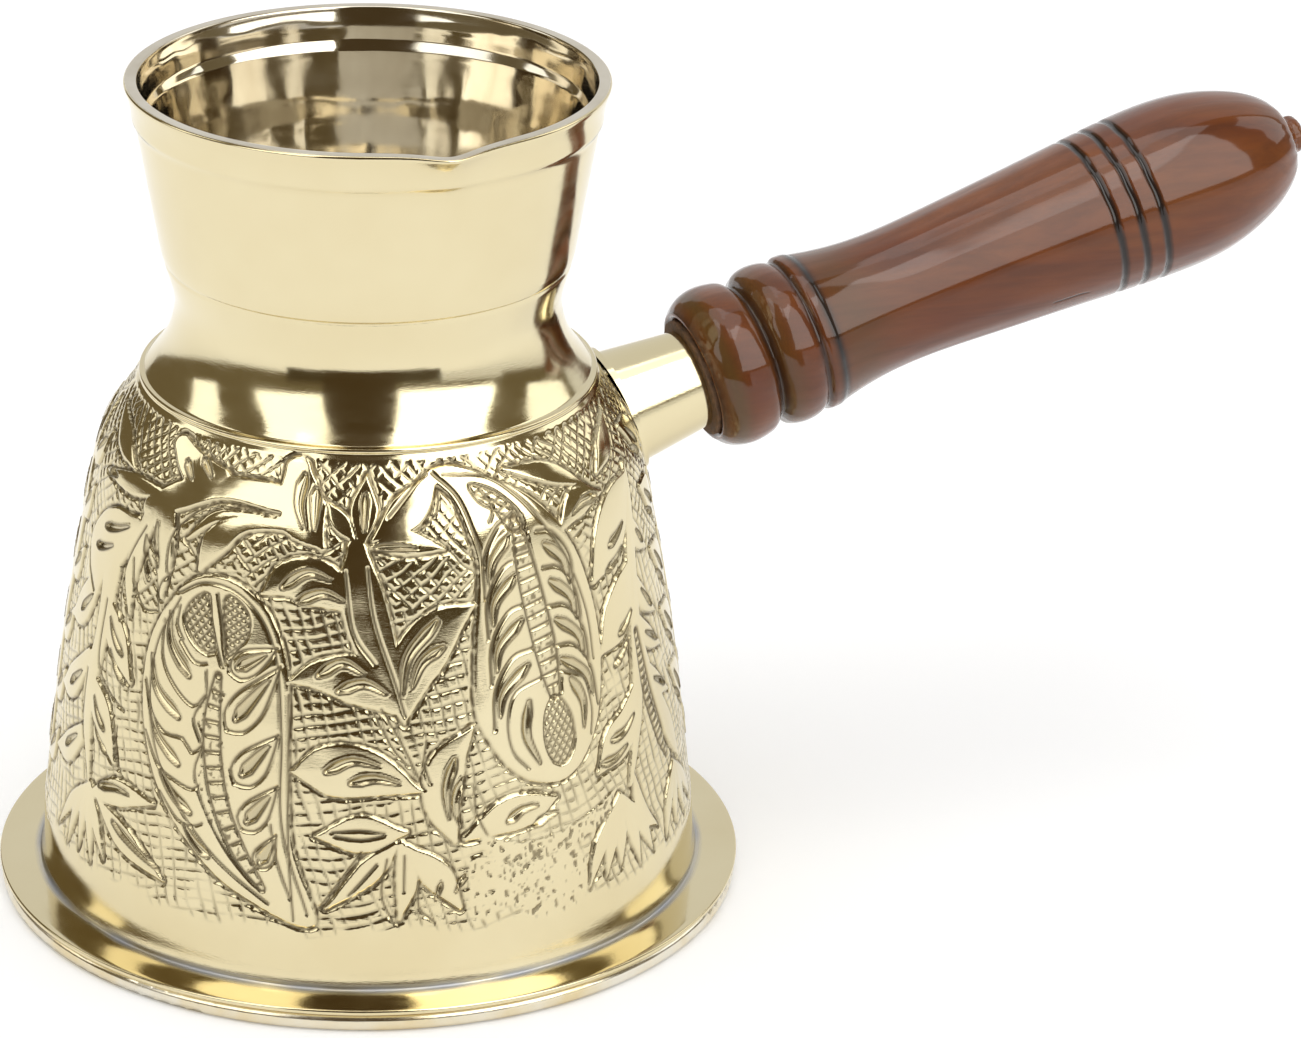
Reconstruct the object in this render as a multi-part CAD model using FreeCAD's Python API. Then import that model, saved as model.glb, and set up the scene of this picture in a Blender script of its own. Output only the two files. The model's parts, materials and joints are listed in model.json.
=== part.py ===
"""Turkish coffee pot (cezve): a chased brass pot on a flanged base, with a screw-on turned wooden handle.

Frame: Z is the pot's axis, up. The origin is the centre of the base's underside.
+X runs out along the handle, and the pouring lip points along -Y. Lengths are millimetres.
"""
import FreeCAD, Part
import math
import os

Vector = FreeCAD.Vector

# ---------------------------------------------------------------- driving dimensions
POT_HEIGHT = 115.0
WALL = 1.5                      # brass sheet of the pot
TIN = 0.25                      # tin wiped over the inside

BASE_RADIUS = 51.2
BASE_THICKNESS = 2.4
BASE_EDGE_ROUND = 1.0
SPIGOT_HEIGHT = 1.0             # the step that centres the base plate inside the pot
SPIGOT_GAP = 0.1
SOLDER = 0.15                   # film of soft solder between base plate and pot
FLANGE_RADIUS = 51.4
FLANGE_THICKNESS = 0.75
FLANGE_EDGE_ROUND = 0.3
COVE = 1.5                      # fillet where the cone stands on its flange

CONE_FOOT_RADIUS = 45.0
SHOULDER_RADIUS = 30.7          # at the raised line that tops the chased zone
SHOULDER_HEIGHT = 74.2
LINE_WIDTH = 0.9                # the raised line itself
LINE_RISE = 0.3
NECK_FOOT_RADIUS = 27.8         # where the waist turns into the straight neck
NECK_FOOT_HEIGHT = 91.0
BAND_HEIGHT = 110.0             # lower edge of the thickened rim band
BAND_RADIUS = 31.15
BAND_STEP = 0.35
RIM_RADIUS = 32.2
LIP_WIDTH = 1.6
LIP_ROUND = 0.35

SPOUT_REACH = 2.3               # how far the pouring lip stands out past the rim
SPOUT_RADIUS = 6.5
SPOUT_DEPTH = 10.0

HANDLE_TILT = 15.5              # degrees above the horizontal
HANDLE_AXIS_HEIGHT = 53.1       # where the handle's axis crosses the pot's axis
SOCKET_END = 48.8               # distances along the handle's axis, from the pot's axis
SOCKET_START = 30.0
SOCKET_END_RADIUS = 7.0
SOCKET_TAPER = 0.115            # radius gained per millimetre towards the pot
SOCKET_WALL = 1.4
BRAZE = 0.8                     # size of the brazed bead round the socket's root

BUSH_LENGTH = 9.5
BUSH_RADIUS = 5.3
BUSH_RECESS = 0.4
THREAD_RADIUS = 3.0             # M6, drawn as a plain hole
STUD_RADIUS = 2.95              # running clearance in the bush, tight in the wood
STUD_START = 40.2
STUD_END = 84.0
STUD_POINT = 5.0

WASHER_THICKNESS = 1.0
WASHER_RADIUS = 8.5
WASHER_HOLE_RADIUS = 3.3

COUNTERBORE_RADIUS = 8.8
COUNTERBORE_DEPTH = 0.5
BEAD_RADIUS = 11.5
GROOVE_RADIUS = 9.8
RING_RADIUS = 11.25
WAIST_RADIUS = 9.55
SWELL_RADIUS = 12.1
NUB_RADIUS = 2.1
HANDLE_END = 145.6
BURNT_LINES = (111.2, 114.6, 117.9)
BURNT_LINE_RADIUS = 11.5        # of the grip at the first of them
BURNT_LINE_WIDTH = 1.0
BURNT_LINE_DEPTH = 0.25
GRIP_SLOPE = 0.065

# ---------------------------------------------------------------- worked out from them
FLANGE_BOTTOM = BASE_THICKNESS + SOLDER
FLANGE_TOP = FLANGE_BOTTOM + FLANGE_THICKNESS
POT_FLOOR = BASE_THICKNESS + SPIGOT_HEIGHT
CAVITY_RADIUS = CONE_FOOT_RADIUS - WALL
HANDLE_FRONT = SOCKET_END + WASHER_THICKNESS - COUNTERBORE_DEPTH
COUNTERBORE_FLOOR = SOCKET_END + WASHER_THICKNESS

# The cone from its foot to the shoulder, as (radius, height) on the outside.
CONE_POINTS = (
    (CONE_FOOT_RADIUS, FLANGE_TOP + COVE),
    (45.1, 9.5),
    (44.2, 18.5),
    (41.7, 37.0),
    (38.6, 55.0),
    (35.5, 66.7),
    (SHOULDER_RADIUS, SHOULDER_HEIGHT - LINE_WIDTH / 2),
)
# The bare shoulder and the waist above it.
WAIST_POINTS = (
    (SHOULDER_RADIUS - 0.6, SHOULDER_HEIGHT + LINE_WIDTH / 2),
    (27.4, 78.2),
    (26.1, 82.2),
    (25.9, 85.5),
    (26.5, 88.6),
    (NECK_FOOT_RADIUS, NECK_FOOT_HEIGHT),
)
# The rim band's flare.
BAND_POINTS = (
    (BAND_RADIUS, BAND_HEIGHT),
    (31.5, 112.3),
    (RIM_RADIUS, POT_HEIGHT - LIP_ROUND),
)


# ---------------------------------------------------------------- helpers
def point(radius, height):
    return Vector(radius, 0, height)


def line(start, end):
    return Part.makeLine(point(*start), point(*end))


def arc(start, middle, end):
    return Part.Arc(point(*start), point(*middle), point(*end)).toShape()


def spline(points):
    curve = Part.BSplineCurve()
    curve.interpolate([point(*p) for p in points])
    return curve.toShape()


def moved_in(points, distance):
    """The same run of points, moved towards the axis square to the run."""
    moved = []
    last = len(points) - 1
    for i, (radius, height) in enumerate(points):
        before = points[max(i - 1, 0)]
        after = points[min(i + 1, last)]
        run_r = after[0] - before[0]
        run_z = after[1] - before[1]
        length = math.hypot(run_r, run_z)
        moved.append((radius - distance * run_z / length, height + distance * run_r / length))
    return moved


def spun(edges):
    """Solid of revolution about Z from a closed chain of edges in the XZ plane."""
    face = Part.Face(Part.Wire(edges))
    return face.revolve(Vector(0, 0, 0), Vector(0, 0, 1), 360)


def disc(radius, bottom, top, hole=0.0):
    solid = Part.makeCylinder(radius, top - bottom, point(0, bottom))
    if hole > 0:
        solid = solid.cut(Part.makeCylinder(hole, top - bottom, point(0, bottom)))
    return solid


def on_handle_axis(shape):
    """Put a shape made along Z onto the handle's axis, with its Z measured from the pot's axis."""
    placed = shape.copy()
    placed.rotate(Vector(0, 0, 0), Vector(0, 1, 0), 90 - HANDLE_TILT)
    placed.translate(Vector(0, 0, HANDLE_AXIS_HEIGHT))
    return placed


def write(shape, node):
    solids = shape.Solids
    solid = solids[0] if len(solids) == 1 else Part.makeCompound(solids)
    if not solid.isValid():
        raise ValueError(node + " is not a valid solid")
    solid.exportStep(os.path.join("parts", node + ".step"))
    print(f"{node}: {len(solids)} solid, {sum(s.Volume for s in solids) / 1000:.2f} cm3")


# ---------------------------------------------------------------- the pot
def outer_form(grown=0.0):
    """The pot's outside as a filled solid, without its pouring lip; grown moves the wall out."""
    foot = (CONE_FOOT_RADIUS + COVE + grown, FLANGE_TOP)
    cone = moved_in(CONE_POINTS, -grown)
    waist = moved_in(WAIST_POINTS, -grown)
    band = moved_in(BAND_POINTS, -grown)
    flange_edge = FLANGE_RADIUS - FLANGE_EDGE_ROUND
    neck_top = (BAND_RADIUS - BAND_STEP + grown, BAND_HEIGHT - BAND_STEP)
    cove_middle = (cone[0][0] + COVE * (1 - math.sqrt(0.5)), FLANGE_TOP + COVE * (1 - math.sqrt(0.5)))
    line_crest = ((cone[-1][0] + waist[0][0]) / 2 + LINE_RISE, SHOULDER_HEIGHT + LINE_RISE)
    lip = (RIM_RADIUS - LIP_ROUND, POT_HEIGHT)
    edges = [
        line((0, FLANGE_BOTTOM), (flange_edge, FLANGE_BOTTOM)),
        arc((flange_edge, FLANGE_BOTTOM), (FLANGE_RADIUS, FLANGE_BOTTOM + FLANGE_THICKNESS / 2),
            (flange_edge, FLANGE_TOP)),
        line((flange_edge, FLANGE_TOP), foot),
        arc(foot, cove_middle, cone[0]),
        spline(cone),
        arc(cone[-1], line_crest, waist[0]),
        spline(waist),
        line(waist[-1], neck_top),
        line(neck_top, band[0]),
        spline(band),
        line(band[-1], lip),
        line(lip, (0, POT_HEIGHT)),
        line((0, POT_HEIGHT), (0, FLANGE_BOTTOM)),
    ]
    return spun(edges)


def spout_cone(shrunk=0.0, rise=0.0):
    """An upright cone at the -Y side that opens upwards; it gives the lip its shape."""
    top_radius = SPOUT_RADIUS - shrunk
    slope = SPOUT_RADIUS / SPOUT_DEPTH
    centre = RIM_RADIUS + SPOUT_REACH - SPOUT_RADIUS
    bottom = POT_HEIGHT - top_radius / slope
    height = POT_HEIGHT - bottom + rise
    return Part.makeCone(0, slope * height, height, Vector(0, -centre, bottom))


def cavity(inset, bottom, top):
    """The hollow of the pot, inset by a skin's thickness, from bottom up to top."""
    cone = moved_in(CONE_POINTS, WALL + inset)
    waist = moved_in(WAIST_POINTS, WALL + inset)
    mouth = RIM_RADIUS - LIP_WIDTH - inset
    neck_top = (BAND_RADIUS - LIP_WIDTH - inset, BAND_HEIGHT)
    foot = (CAVITY_RADIUS - inset, bottom)
    wall = [
        line(foot, cone[0]),
        spline(cone),
        spline([cone[-1], waist[0]]),
        spline(waist),
        line(waist[-1], neck_top),
        line(neck_top, (mouth, POT_HEIGHT)),
    ]
    if top > POT_HEIGHT:
        wall.append(line((mouth, POT_HEIGHT), (mouth, top)))
    wall.append(line((mouth, top), (0, top)))
    wall.append(line((0, top), (0, bottom)))
    wall.append(line((0, bottom), foot))
    hollow = spun(wall)
    return hollow.fuse(spout_cone(LIP_WIDTH + inset, top - POT_HEIGHT))


def pot_body():
    return outer_form().fuse(spout_cone()).cut(cavity(0.0, 0.0, POT_HEIGHT + WALL))


def tin_lining():
    skin = cavity(0.0, POT_FLOOR, POT_HEIGHT)
    return skin.cut(cavity(TIN, POT_FLOOR + TIN, POT_HEIGHT + WALL))


def base_plate():
    plate = disc(BASE_RADIUS, 0.0, BASE_THICKNESS)
    rim_edges = [e for e in plate.Edges if len(e.Vertexes) == 1]
    plate = plate.makeFillet(BASE_EDGE_ROUND, rim_edges)
    return plate.fuse(disc(CAVITY_RADIUS - SPIGOT_GAP, BASE_THICKNESS, POT_FLOOR))


def base_solder():
    outer = BASE_RADIUS - BASE_EDGE_ROUND
    return disc(outer, BASE_THICKNESS, FLANGE_BOTTOM, hole=CAVITY_RADIUS)


# ---------------------------------------------------------------- the socket
def socket_radius(station, grown=0.0):
    return SOCKET_END_RADIUS + SOCKET_TAPER * (SOCKET_END - station) + grown


def tapered_bar(start, end, grown=0.0):
    big = socket_radius(start, grown)
    small = socket_radius(end, grown)
    return Part.makeCone(big, small, end - start, point(0, start))


def socket_bar():
    return on_handle_axis(tapered_bar(SOCKET_START, SOCKET_END))


def handle_socket():
    bush_start = SOCKET_END - BUSH_RECESS - BUSH_LENGTH
    hollow = tapered_bar(SOCKET_START, bush_start, -SOCKET_WALL)
    bore = disc(BUSH_RADIUS, bush_start, SOCKET_END)
    return socket_bar().cut(on_handle_axis(hollow.fuse(bore))).cut(outer_form())


def socket_braze():
    root = on_handle_axis(tapered_bar(SOCKET_START, SOCKET_END - BUSH_LENGTH, BRAZE))
    return root.common(outer_form(BRAZE)).cut(outer_form()).cut(socket_bar())


def socket_bush():
    end = SOCKET_END - BUSH_RECESS
    return on_handle_axis(disc(BUSH_RADIUS, end - BUSH_LENGTH, end, hole=THREAD_RADIUS))


# ---------------------------------------------------------------- the handle
def leather_washer():
    return on_handle_axis(disc(WASHER_RADIUS, SOCKET_END, COUNTERBORE_FLOOR, hole=WASHER_HOLE_RADIUS))


def stud_form():
    shank_end = STUD_END - STUD_POINT
    shank = disc(STUD_RADIUS, STUD_START, shank_end)
    tip = Part.makeCone(STUD_RADIUS, STUD_RADIUS / 4, STUD_POINT, point(0, shank_end))
    return shank.fuse(tip)


def handle_stud():
    return on_handle_axis(stud_form())


def burnt_groove(station):
    """A narrow square groove round the grip, which widens evenly along this stretch."""
    surface = BURNT_LINE_RADIUS + GRIP_SLOPE * (station - BURNT_LINES[0])
    start = station - BURNT_LINE_WIDTH / 2
    return disc(surface + 1.0, start, start + BURNT_LINE_WIDTH, hole=surface - BURNT_LINE_DEPTH)


def wooden_handle():
    front = HANDLE_FRONT
    bead_start = (COUNTERBORE_RADIUS + 0.3, front)
    groove = (GROOVE_RADIUS, 58.5)
    second_end = (GROOVE_RADIUS + 1.0, 65.2)
    ring_end = (RING_RADIUS - 0.2, 67.7)
    nub_root = (NUB_RADIUS, 143.6)
    nub_round = (NUB_RADIUS * 0.8, HANDLE_END - 0.4)
    grip = (
        ring_end,
        (10.45, 70.3),
        (9.8, 74.8),
        (WAIST_RADIUS, 80.5),
        (9.95, 89.5),
        (10.8, 102.0),
        (11.75, 114.8),
        (SWELL_RADIUS, 122.8),
        (11.6, 129.6),
        (10.1, 135.1),
        (7.1, 140.7),
        (4.2, 143.2),
    )
    outline = [
        line((0, front), bead_start),
        arc(bead_start, (BEAD_RADIUS, 54.0), groove),
        arc(groove, (BEAD_RADIUS, 62.0), second_end),
        arc(second_end, (RING_RADIUS, 66.4), ring_end),
        spline(grip),
        line(grip[-1], nub_root),
        line(nub_root, nub_round),
        line(nub_round, (0, HANDLE_END)),
        line((0, HANDLE_END), (0, front)),
    ]
    turned = spun(outline)
    for station in BURNT_LINES:
        turned = turned.cut(burnt_groove(station))
    turned = turned.cut(disc(COUNTERBORE_RADIUS, front, COUNTERBORE_FLOOR))
    return on_handle_axis(turned.cut(stud_form()))


# ---------------------------------------------------------------- write every piece
def main():
    os.makedirs("parts", exist_ok=True)
    pieces = (
        pot_body,
        tin_lining,
        base_plate,
        base_solder,
        handle_socket,
        socket_braze,
        socket_bush,
        leather_washer,
        wooden_handle,
        handle_stud,
    )
    for piece in pieces:
        write(piece(), piece.__name__)


main()
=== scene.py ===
"""Looks of a chased brass coffee pot with a turned wooden handle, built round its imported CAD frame.

Angles round the pot are degrees from the pouring lip (-Y) towards the handle (+X).
Outlines are in millimetres, and turn into metres where a mesh is made.
"""

import json
import math

import bmesh
import bpy
import numpy as np
from mathutils import Matrix, Vector

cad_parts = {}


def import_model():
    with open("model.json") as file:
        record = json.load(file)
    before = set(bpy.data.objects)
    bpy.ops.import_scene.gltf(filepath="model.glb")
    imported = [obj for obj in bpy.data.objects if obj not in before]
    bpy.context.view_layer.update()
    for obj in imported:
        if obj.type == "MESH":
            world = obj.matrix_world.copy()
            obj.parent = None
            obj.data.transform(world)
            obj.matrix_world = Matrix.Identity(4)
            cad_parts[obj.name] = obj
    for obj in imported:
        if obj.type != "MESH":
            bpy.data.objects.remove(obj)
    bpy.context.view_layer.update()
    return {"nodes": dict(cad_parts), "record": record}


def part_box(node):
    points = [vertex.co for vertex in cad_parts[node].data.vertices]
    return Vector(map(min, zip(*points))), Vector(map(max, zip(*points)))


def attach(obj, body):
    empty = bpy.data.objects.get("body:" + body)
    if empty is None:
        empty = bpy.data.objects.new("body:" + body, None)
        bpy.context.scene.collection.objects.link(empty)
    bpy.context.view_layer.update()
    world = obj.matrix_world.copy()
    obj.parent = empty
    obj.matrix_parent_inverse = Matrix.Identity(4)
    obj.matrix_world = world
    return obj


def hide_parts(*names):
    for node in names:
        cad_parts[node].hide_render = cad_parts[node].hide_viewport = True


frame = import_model()
nodes = frame["nodes"]

MM = 0.001

# ---------------------------------------------------------------- the pot's outline, in mm
POT_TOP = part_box("pot_body")[1].z / MM
FLANGE_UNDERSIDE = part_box("pot_body")[0].z / MM
FLANGE_RADIUS = -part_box("pot_body")[0].x / MM
FLANGE_TOP = FLANGE_UNDERSIDE + 0.75
FLANGE_EDGE_ROUND = 0.28
COVE = 0.35
BORE_RADIUS = 43.5
WALL = 1.5
TIN = 0.25
CONE = (
    (45.62, 3.8), (45.38, 4.75), (45.24, 5.8), (45.14, 7.2), (45.0, 10.5), (44.2, 18.5), (41.7, 37.0),
    (38.6, 55.0), (35.5, 66.7), (30.7, 73.75),
)
WAIST = ((30.1, 74.65), (27.5, 78.2), (26.25, 81.6), (25.9, 84.4), (26.4, 87.0), (27.1, 89.4), (27.75, 91.8))
NECK = ((27.75, 91.8), (30.8, 109.65))
CREASE = 90.4                   # height of the faint turned line under the neck
BAND = ((31.2, 110.0), (31.5, 112.3), (32.2, 114.65))
RAISED_LINE = (30.52, 74.17)    # centre of the round line on top of the chasing
RAISED_LINE_RADIUS = 0.36
LIP_OUTER = 31.85               # where the flat of the lip begins and ends
LIP_INNER = 30.9
SPOUT_REACH = 2.3
SPOUT_DEPTH = 11.0
SPOUT_DIP = 0.45

# ---------------------------------------------------------------- the chasing, in mm
COLUMNS = 1280
LINING_COLUMNS = 720
ROW_STEP = 0.21
GROUND_DEPTH = 0.14
HATCH_DEPTH = 0.17
OUTLINE_DEPTH = 0.24
PLAIN_BAND = 7.6                # height of the bare metal under the chasing
BORDER = 0.9                    # bare line under the raised line

# ---------------------------------------------------------------- the handle, in mm along its axis
HINGE = frame["record"]["behaviour"]["joints"][0]
HANDLE_AXIS = Vector(HINGE["axis"]).normalized()
AXIS_FOOT = Vector(HINGE["pos_m"]) - HANDLE_AXIS * (HINGE["pos_m"][0] / HANDLE_AXIS.x)
HANDLE_COLUMNS = 384
BEADS = (
    (9.3, 49.35), (10.4, 50.4), (11.2, 52.0), (11.5, 54.0), (11.25, 56.0), (10.4, 57.7), (9.6, 58.5),
    (10.5, 59.3), (11.3, 60.6), (11.5, 62.0), (11.35, 63.5), (10.95, 64.6), (10.7, 65.3),
    (11.15, 65.8), (11.25, 66.5), (11.2, 67.3), (10.95, 67.9),
)
GRIP = (
    (10.95, 67.9), (10.45, 70.3), (9.8, 74.8), (9.55, 80.5), (9.95, 89.5), (10.8, 102.0), (11.75, 114.8),
    (12.1, 122.8), (11.6, 129.6), (10.1, 135.1), (7.1, 140.7), (4.6, 142.8), (3.1, 143.5), (2.7, 143.9),
)
NUB = ((2.7, 143.9), (2.65, 144.8), (2.2, 145.4), (1.1, 145.6), (0.0, 145.6))
BURNT_LINES = (111.2, 114.6, 117.9)
# painted shade in the grooves between the beads and in the gap at the leather washer: place and width in mm
# along the axis, and strength
PAINTED_SHADE_HOLLOWS = ((67.6, 0.7, 1.0), (65.2, 0.5, 0.8), (58.5, 0.8, 0.75), (49.2, 0.7, 0.8))
CRACKS = ((262, 91.5, 96.5, 0.2), (246, 96.0, 97.5, 0.15), (282, 84.0, 88.5, 0.12), (215, 100, 106, 0.1))
STUD_START = 40.2
STUD_END = 84.0
STUD_PITCH = 1.0

# ---------------------------------------------------------------- the camera
CAMERA_PLACE = (-0.2155, -0.6258, 0.3347)
VIEW_TURN = 19.0                # degrees from +Y towards +X, from the camera to the pot's axis
CAMERA_YAW = VIEW_TURN + 3.33
CAMERA_PITCH = 23.13
CAMERA_ROLL = 1.209
LENS = 145.7

# ---------------------------------------------------------------- the room that the metal mirrors
ROOM_CENTRE = 0.07
OLIVE = (0.17, 0.135, 0.075)
WHITE = (1.0, 1.0, 0.97)
ROOM = (
    ("dim_wall_left", (-150, -20), (-2, 86), 2.00, OLIVE, 1.0),
    ("dim_wall_right", (-20, 80), (5, 86), 2.00, OLIVE, 1.0),
    ("dim_wall_far_right", (80, 130), (2, 86), 2.00, OLIVE, 1.0),
    ("table_edge", (-46, 40), (-7.5, 6), 0.43, (0.08, 0.06, 0.03), 1.0),
    ("table_front", (-26, 34), (-9.3, -7.5), 0.43, (0.08, 0.06, 0.03), 1.0),
    ("photographer", (-25, 15), (-9, 78), 0.42, (0.075, 0.05, 0.022), 1.0),
    ("window_far_left", (-110, -92), (12, 52), 1.90, WHITE, 1.6),
    ("window_left", (-66, -26), (14, 55), 1.90, WHITE, 2.0),
    ("window_right", (17, 74), (10, 72), 1.90, WHITE, 2.8),
    ("window_far_right", (98, 125), (14, 50), 1.90, WHITE, 1.6),
    ("ceiling_strip", (-75, 10), (66, 74), 1.90, WHITE, 1.3),
)


# ================================================================ outlines
def natural_spline(points, step):
    """Points about step mm apart on a smooth curve through the given (radius, height) points."""
    knots = np.array(points, float)
    at = np.concatenate([[0], np.cumsum(np.hypot(*np.diff(knots, axis=0).T))])
    gap = np.diff(at)
    size = len(at)
    system = np.eye(size)
    target = np.zeros((size, 2))
    for i in range(1, size - 1):
        system[i, i - 1: i + 2] = gap[i - 1], 2 * (gap[i - 1] + gap[i]), gap[i]
        target[i] = 6 * ((knots[i + 1] - knots[i]) / gap[i] - (knots[i] - knots[i - 1]) / gap[i - 1])
    bend = np.linalg.solve(system, target)
    count = max(2, int(round(at[-1] / step)) + 1)
    place = np.linspace(0, at[-1], count)
    span = np.clip(np.searchsorted(at, place, "right") - 1, 0, size - 2)
    width = gap[span][:, None]
    before = (place - at[span])[:, None]
    after = width - before
    low, high = bend[span], bend[span + 1]
    return (
        (low * after**3 + high * before**3) / (6 * width)
        + (knots[span] / width - low * width / 6) * after
        + (knots[span + 1] / width - high * width / 6) * before
    )


def straight(points, step):
    """Points about step mm apart on straight runs between the given ones."""
    run = [np.array(points[:1], float)]
    for start, end in zip(points, points[1:]):
        count = max(1, int(round(math.dist(start, end) / step)))
        share = np.linspace(0, 1, count + 1)[1:, None]
        run.append(np.array(start) + share * (np.array(end) - np.array(start)))
    return np.concatenate(run)


def arc(centre, radius, start, end, count):
    """Points on an arc from one angle to the other, in degrees."""
    turn = np.radians(np.linspace(start, end, count))
    return np.stack([centre[0] + radius * np.cos(turn), centre[1] + radius * np.sin(turn)], axis=1)


def joined(*runs):
    """The runs one after another, without the points that two of them share."""
    line = np.concatenate(runs)
    keep = np.concatenate([[True], np.hypot(*np.diff(line, axis=0).T) > 0.004])
    return line[keep]


def normals(line):
    """The outward unit normal at each point of an outline that runs upwards on the outside."""
    along = np.gradient(line, axis=0)
    along /= np.linalg.norm(along, axis=1, keepdims=True)
    return np.stack([along[:, 1], -along[:, 0]], axis=1)


def outer_radius(heights):
    """The pot's outside radius at the given heights, above the flange."""
    cone, waist, band = (natural_spline(points, 1) for points in (CONE, WAIST, BAND))
    outline = joined(cone, waist, straight(NECK, 1), band)
    return np.interp(heights, outline[:, 1], outline[:, 0])


# ================================================================ meshes
def soft_noise(across, along, cells_round, cell_along, seed):
    """Smooth noise from -1 to 1 over degrees round the axis and mm along it, wrapping round without a join."""
    rows = int(400 / cell_along) + 4
    lattice = np.random.default_rng(seed).uniform(-1, 1, (rows, cells_round))
    u = np.mod(np.asarray(across) / 360, 1) * cells_round
    v = np.asarray(along) / cell_along + 1
    column = np.floor(u).astype(int)
    row = np.floor(v).astype(int)
    s = u - column
    t = v - row
    s = s * s * (3 - 2 * s)
    t = t * t * (3 - 2 * t)
    right = (column + 1) % cells_round
    column %= cells_round
    low = lattice[row, column] * (1 - s) + lattice[row, right] * s
    high = lattice[row + 1, column] * (1 - s) + lattice[row + 1, right] * s
    return low * (1 - t) + high * t


def put_in_scene(name, data):
    piece = bpy.data.objects.new(name, data)
    bpy.context.scene.collection.objects.link(piece)
    return piece


def surface(name, grid, loop=False, marks=None):
    """A smooth mesh on a grid of points (rows, columns, 3) in mm. Columns close, and rows do if loop."""
    rows, columns = grid.shape[:2]
    index = np.arange(rows * columns, dtype=np.int32).reshape(rows, columns)
    below = index if loop else index[:-1]
    above = np.roll(index, -1, axis=0) if loop else index[1:]
    quads = np.stack([below, np.roll(below, -1, axis=1), np.roll(above, -1, axis=1), above], axis=-1)
    quads = np.ascontiguousarray(quads.reshape(-1, 4))
    mesh = bpy.data.meshes.new(name)
    mesh.vertices.add(rows * columns)
    mesh.vertices.foreach_set("co", (grid * MM).astype(np.float32).ravel())
    mesh.loops.add(quads.size)
    mesh.loops.foreach_set("vertex_index", quads.ravel())
    mesh.polygons.add(len(quads))
    mesh.polygons.foreach_set("loop_start", np.arange(0, quads.size, 4, dtype=np.int32))
    mesh.polygons.foreach_set("use_smooth", np.ones(len(quads), bool))
    mesh.update(calc_edges=True)
    for mark, values in (marks or {}).items():
        layer = mesh.attributes.new(mark, "FLOAT", "POINT")
        layer.data.foreach_set("value", values.astype(np.float32).ravel())
    return put_in_scene(name, mesh)


def weld(piece):
    """Joins points that lie together, such as those where a turned outline meets its axis."""
    shape = bmesh.new()
    shape.from_mesh(piece.data)
    bmesh.ops.remove_doubles(shape, verts=shape.verts, dist=1e-7)
    shape.to_mesh(piece.data)
    shape.free()
    return piece


def round_the_pot(radius, height):
    """The grid of points of a shape turned about the pot's axis, pushed out at the pouring lip."""
    turn = np.linspace(0, 360, radius.shape[1], endpoint=False)
    side = (turn + 180) % 360 - 180
    lift = np.clip((height - (POT_TOP - SPOUT_DEPTH)) / SPOUT_DEPTH, 0, 1.02)
    reach = SPOUT_REACH * lift**2
    half = np.degrees(np.arccos(radius / (radius + reach + 1e-9)))
    near = np.sqrt(side**2 + 2.0**2)
    inside = near < half
    drawn = radius / np.cos(np.radians(np.clip(half - near, 0, 80)))
    radius = np.where(inside, drawn, radius)
    height = height - SPOUT_DIP * lift**3 * np.exp(-((side / 7.0) ** 2))
    angle = np.radians(turn)
    return np.stack([radius * np.sin(angle), -radius * np.cos(angle), height], axis=-1)


def along_handle(radius, distance):
    """The grid of points of a shape turned about the handle's axis, at distances from the pot's axis."""
    angle = np.linspace(0, 2 * np.pi, radius.shape[1], endpoint=False)
    axis = np.array(HANDLE_AXIS)
    side = np.array((0.0, 1.0, 0.0))
    up = np.cross(axis, side)
    foot = np.array(AXIS_FOOT) / MM
    ring = radius[..., None] * (np.cos(angle)[:, None] * side + np.sin(angle)[:, None] * up)
    return foot + distance[..., None] * axis + ring


# ================================================================ the chasing
def kept_for_later(cut):
    """Makes a cut wait until the raised shapes are pressed."""
    def wait(self, *settings):
        self.cuts.append((cut, self.shift, settings))
    return wait


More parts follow.
